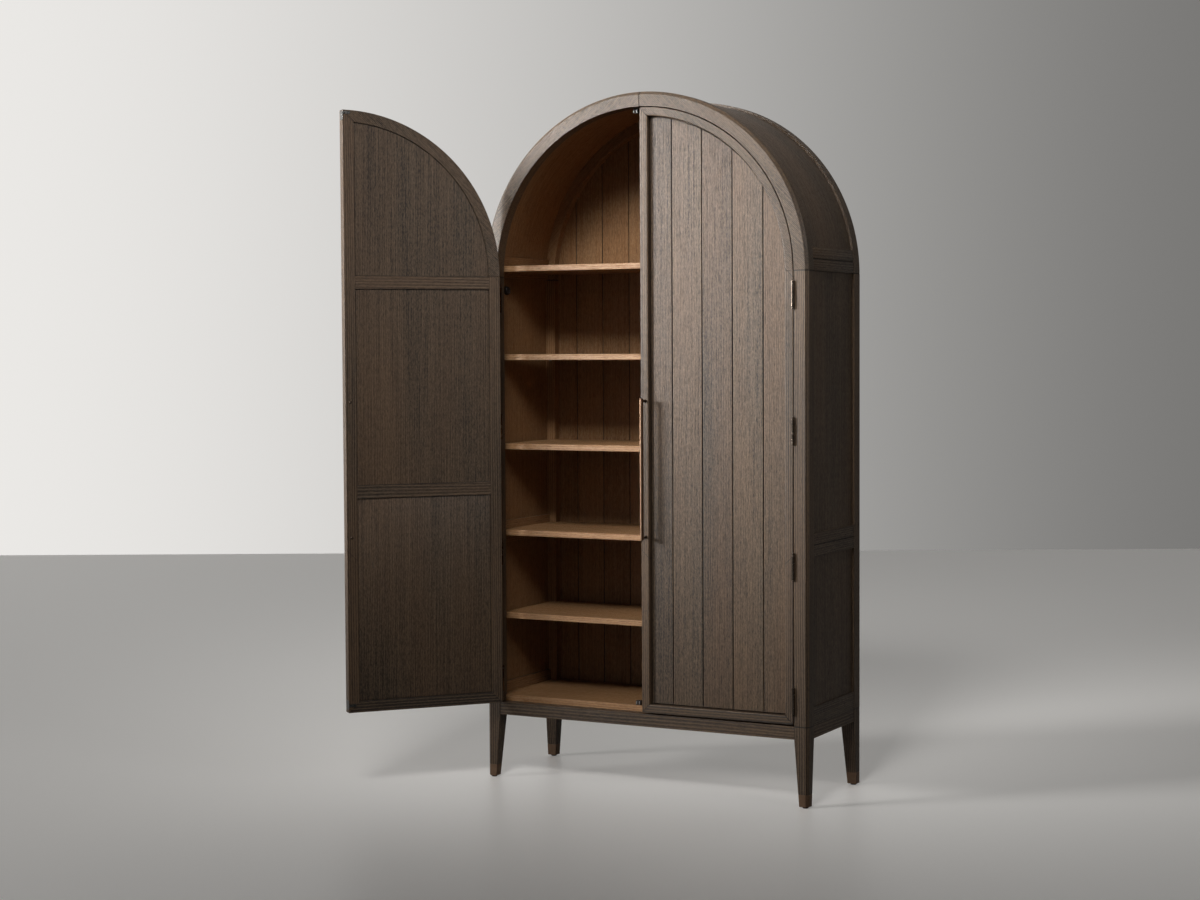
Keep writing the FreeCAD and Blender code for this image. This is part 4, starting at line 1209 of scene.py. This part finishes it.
class CABINET_OT_cap(bpy.types.Operator):
    """Make the round cap on the left side's inner face"""

    bl_idname = "cabinet.cap"
    bl_label = "Round Cap"

    def execute(self, context):
        low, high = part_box("side_cap")
        radius = (high.z - low.z) / 2
        reach = high.x - low.x
        shares = [
            (0, 0),
            (1, 0),
            (1, 0.70),
            (0.96, 0.90),
            (0.88, 0.99),
            (0.78, 1),
            (0.70, 0.97),
            (0.66, 0.86),
            (0.60, 0.80),
            (0, 0.78),
        ]
        profile = [(radius * across, reach * along) for across, along in shares]
        centre = (low.x, (low.y + high.y) / 2, (low.z + high.z) / 2)
        skins = [solid_turned(turned(profile, centre, "x", 64))]
        plastic = moulded_plastic("dark_plastic")
        make("round_cap", skins, plastic, "case", ["side_cap"])
        return {"FINISHED"}


class CABINET_OT_studio(bpy.types.Operator):
    """Set up the floor, the background, the lamps and the camera"""

    bl_idname = "cabinet.studio"
    bl_label = "Studio"

    def execute(self, context):
        look = context.scene.cabinet_studio
        ahead = Vector((-math.sin(YAW), math.cos(YAW), 0))
        aside = Vector((math.cos(YAW), math.sin(YAW), 0))
        self.ground(look, ahead, aside)
        for name, (spot, target, size, spread, power) in LAMPS.items():
            self.lamp(name, spot, target, size, spread, getattr(look, power))
        self.world(context, look, ahead, aside)
        self.camera(context, look, ahead, aside)
        context.scene.view_settings.view_transform = "Standard"
        return {"FINISHED"}

    def ground(self, look, ahead, aside):
        """A plain square floor, turned so that its far edge lies level behind the cabinet."""
        reach = 8.4
        corners = rectangle(-reach, reach, -reach, reach)
        vertices = [tuple(aside * x + ahead * y) for x, y in corners]
        mesh = bpy.data.meshes.new("studio_floor")
        mesh.from_pydata(vertices, [], [(0, 1, 2, 3)])
        mesh.materials.append(self.ground_material(look.floor))
        piece = bpy.data.objects.new("studio_floor", mesh)
        bpy.context.scene.collection.objects.link(piece)

    def ground_material(self, colour):
        """A plain satin colour with a faint cloudiness, paler to the camera than to the light."""
        paler, glow = 2.9, 0.12
        recipe = Recipe(bpy.data.materials.new("studio_floor"))
        vector = recipe.add("TexCoord").outputs["Object"]
        seen = recipe.add("LightPath").outputs["Is Camera Ray"]
        share = recipe.spread(recipe.noise(vector, 4.0, 0.6), 0.3, 0.7)
        tone = recipe.blend(share, rgba(colour), rgba(colour, 0.94))
        return recipe.finish(
            Base_Color=recipe.blend(seen, tone, rgba(colour, paler)),
            Roughness=0.4,
            Specular_IOR_Level=0.3,
            Emission_Color=(1.0, 0.98, 0.95, 1.0),
            Emission_Strength=recipe.math("MULTIPLY", seen, glow),
        )

    def lamp(self, name, spot, target, size, spread, power):
        """A square soft lamp aimed at a point, whose light spreads by an angle in degrees."""
        data = bpy.data.lights.new(name, "AREA")
        data.size = size
        data.spread = math.radians(spread)
        data.energy = power
        lamp = bpy.data.objects.new(name, data)
        lamp.location = spot
        aim = Vector(target) - Vector(spot)
        lamp.rotation_euler = aim.to_track_quat("-Z", "Y").to_euler()
        lamp.visible_camera = False
        bpy.context.scene.collection.objects.link(lamp)

    def world(self, context, look, ahead, aside):
        """Dim light from in front and behind, and a background that the camera and gloss see.

        The background goes from its left to its right colour with the share of the direction
        that lies aside. Gloss sees it darker on the right and behind the camera."""
        world = bpy.data.worlds.new("studio_light")
        context.scene.world = world
        recipe = Recipe(world)
        rays = recipe.add("LightPath").outputs
        direction = recipe.add("TexCoord").outputs["Generated"]

        def ramp(towards, *limits):
            inputs = {0: direction, 1: towards.normalized()}
            share = recipe.add("VectorMath", inputs, operation="DOT_PRODUCT").outputs["Value"]
            return recipe.spread(share, *limits, curve="SMOOTHSTEP")

        seen = rays["Is Camera Ray"]
        for kind in ("Is Glossy Ray", "Is Transmission Ray"):
            seen = recipe.math("MAXIMUM", seen, rays[kind])
        fore = ramp(Vector((-0.3, -0.9, 0.3)), -0.6, 0.8, 0.01, look.ambient)
        rear = ramp(Vector((-0.1, 1, 0)), 0.45, 0.95, 0.0, look.rear_light)
        inputs = {"Color": (1.0, 0.99, 0.97, 1), "Strength": recipe.math("ADD", fore, rear)}
        dim = recipe.add("Background", inputs).outputs[0]
        left, right = rgba(look.background_left), rgba(look.background_right)
        tone = recipe.blend(ramp(aside, -0.32, 0.32, 0.0, 1.0), left, right)
        by_side = ramp(aside, 0.3, 0.85, 1.0, 0.2)
        by_depth = ramp(ahead, -0.5, 0.3, 0.25, 1.0)
        shaded = recipe.math("MULTIPLY", by_side, by_depth)
        strength = recipe.math("MAXIMUM", shaded, rays["Is Camera Ray"])
        plain = recipe.add("Background", {"Color": tone, "Strength": strength}).outputs[0]
        mix = recipe.add("MixShader", {0: seen, 1: dim, 2: plain}).outputs[0]
        recipe.add("OutputWorld", {0: mix})

    def camera(self, context, look, ahead, aside):
        """The camera where the photograph was taken from."""
        data = bpy.data.cameras.new("photo_camera")
        data.sensor_width = 36
        data.lens = look.focal_length
        data.clip_end = 100
        camera = bpy.data.objects.new("photo_camera", data)
        forward = ahead * math.cos(PITCH) + Vector((0, 0, math.sin(PITCH)))
        up = aside.cross(forward)
        tilted_right = aside * math.cos(ROLL) + up * math.sin(ROLL)
        tilted_up = up * math.cos(ROLL) - aside * math.sin(ROLL)
        turn = Matrix((tilted_right, tilted_up, -forward)).transposed()
        camera.matrix_world = Matrix.Translation(EYE) @ turn.to_4x4()
        context.scene.collection.objects.link(camera)
        context.scene.camera = camera


OPERATORS = (
    CABINET_OT_studio,
    CABINET_OT_frame,
    CABINET_OT_arches,
    CABINET_OT_sides,
    CABINET_OT_roof,
    CABINET_OT_boards,
    CABINET_OT_back,
    CABINET_OT_door_frames,
    CABINET_OT_door_panels,
    CABINET_OT_hinges,
    CABINET_OT_handles,
    CABINET_OT_catches,
    CABINET_OT_feet,
    CABINET_OT_cap,
)


class CABINET_PT_panel(bpy.types.Panel):
    """Lists the cabinet's pieces and settings."""

    bl_idname = "CABINET_PT_panel"
    bl_label = "Cabinet"
    bl_space_type = "VIEW_3D"
    bl_region_type = "UI"
    bl_category = "Cabinet"

    def draw(self, context):
        for operator in OPERATORS:
            self.layout.operator(operator.bl_idname)
        for group in SETTINGS:
            settings = getattr(context.scene, group)
            for name in settings.__annotations__:
                self.layout.prop(settings, name)


SETTINGS = {
    "cabinet_oak": OakFinish,
    "cabinet_metal": MetalFinish,
    "cabinet_sizes": CabinetSizes,
    "cabinet_studio": StudioSettings,
}


def register():
    """Adds the settings, the operators and the panel."""
    for name, group in SETTINGS.items():
        bpy.utils.register_class(group)
        setattr(bpy.types.Scene, name, PointerProperty(type=group))
    for operator in OPERATORS:
        bpy.utils.register_class(operator)
    bpy.utils.register_class(CABINET_PT_panel)


def unregister():
    """Takes them away again."""
    bpy.utils.unregister_class(CABINET_PT_panel)
    for operator in reversed(OPERATORS):
        bpy.utils.unregister_class(operator)
    for name, group in SETTINGS.items():
        delattr(bpy.types.Scene, name)
        bpy.utils.unregister_class(group)


def main():
    """Makes every piece in turn."""
    register()
    for operator in OPERATORS:
        group, name = operator.bl_idname.split(".")
        getattr(getattr(bpy.ops, group), name)()
    bpy.context.view_layer.update()


if __name__ == "__main__":
    main()
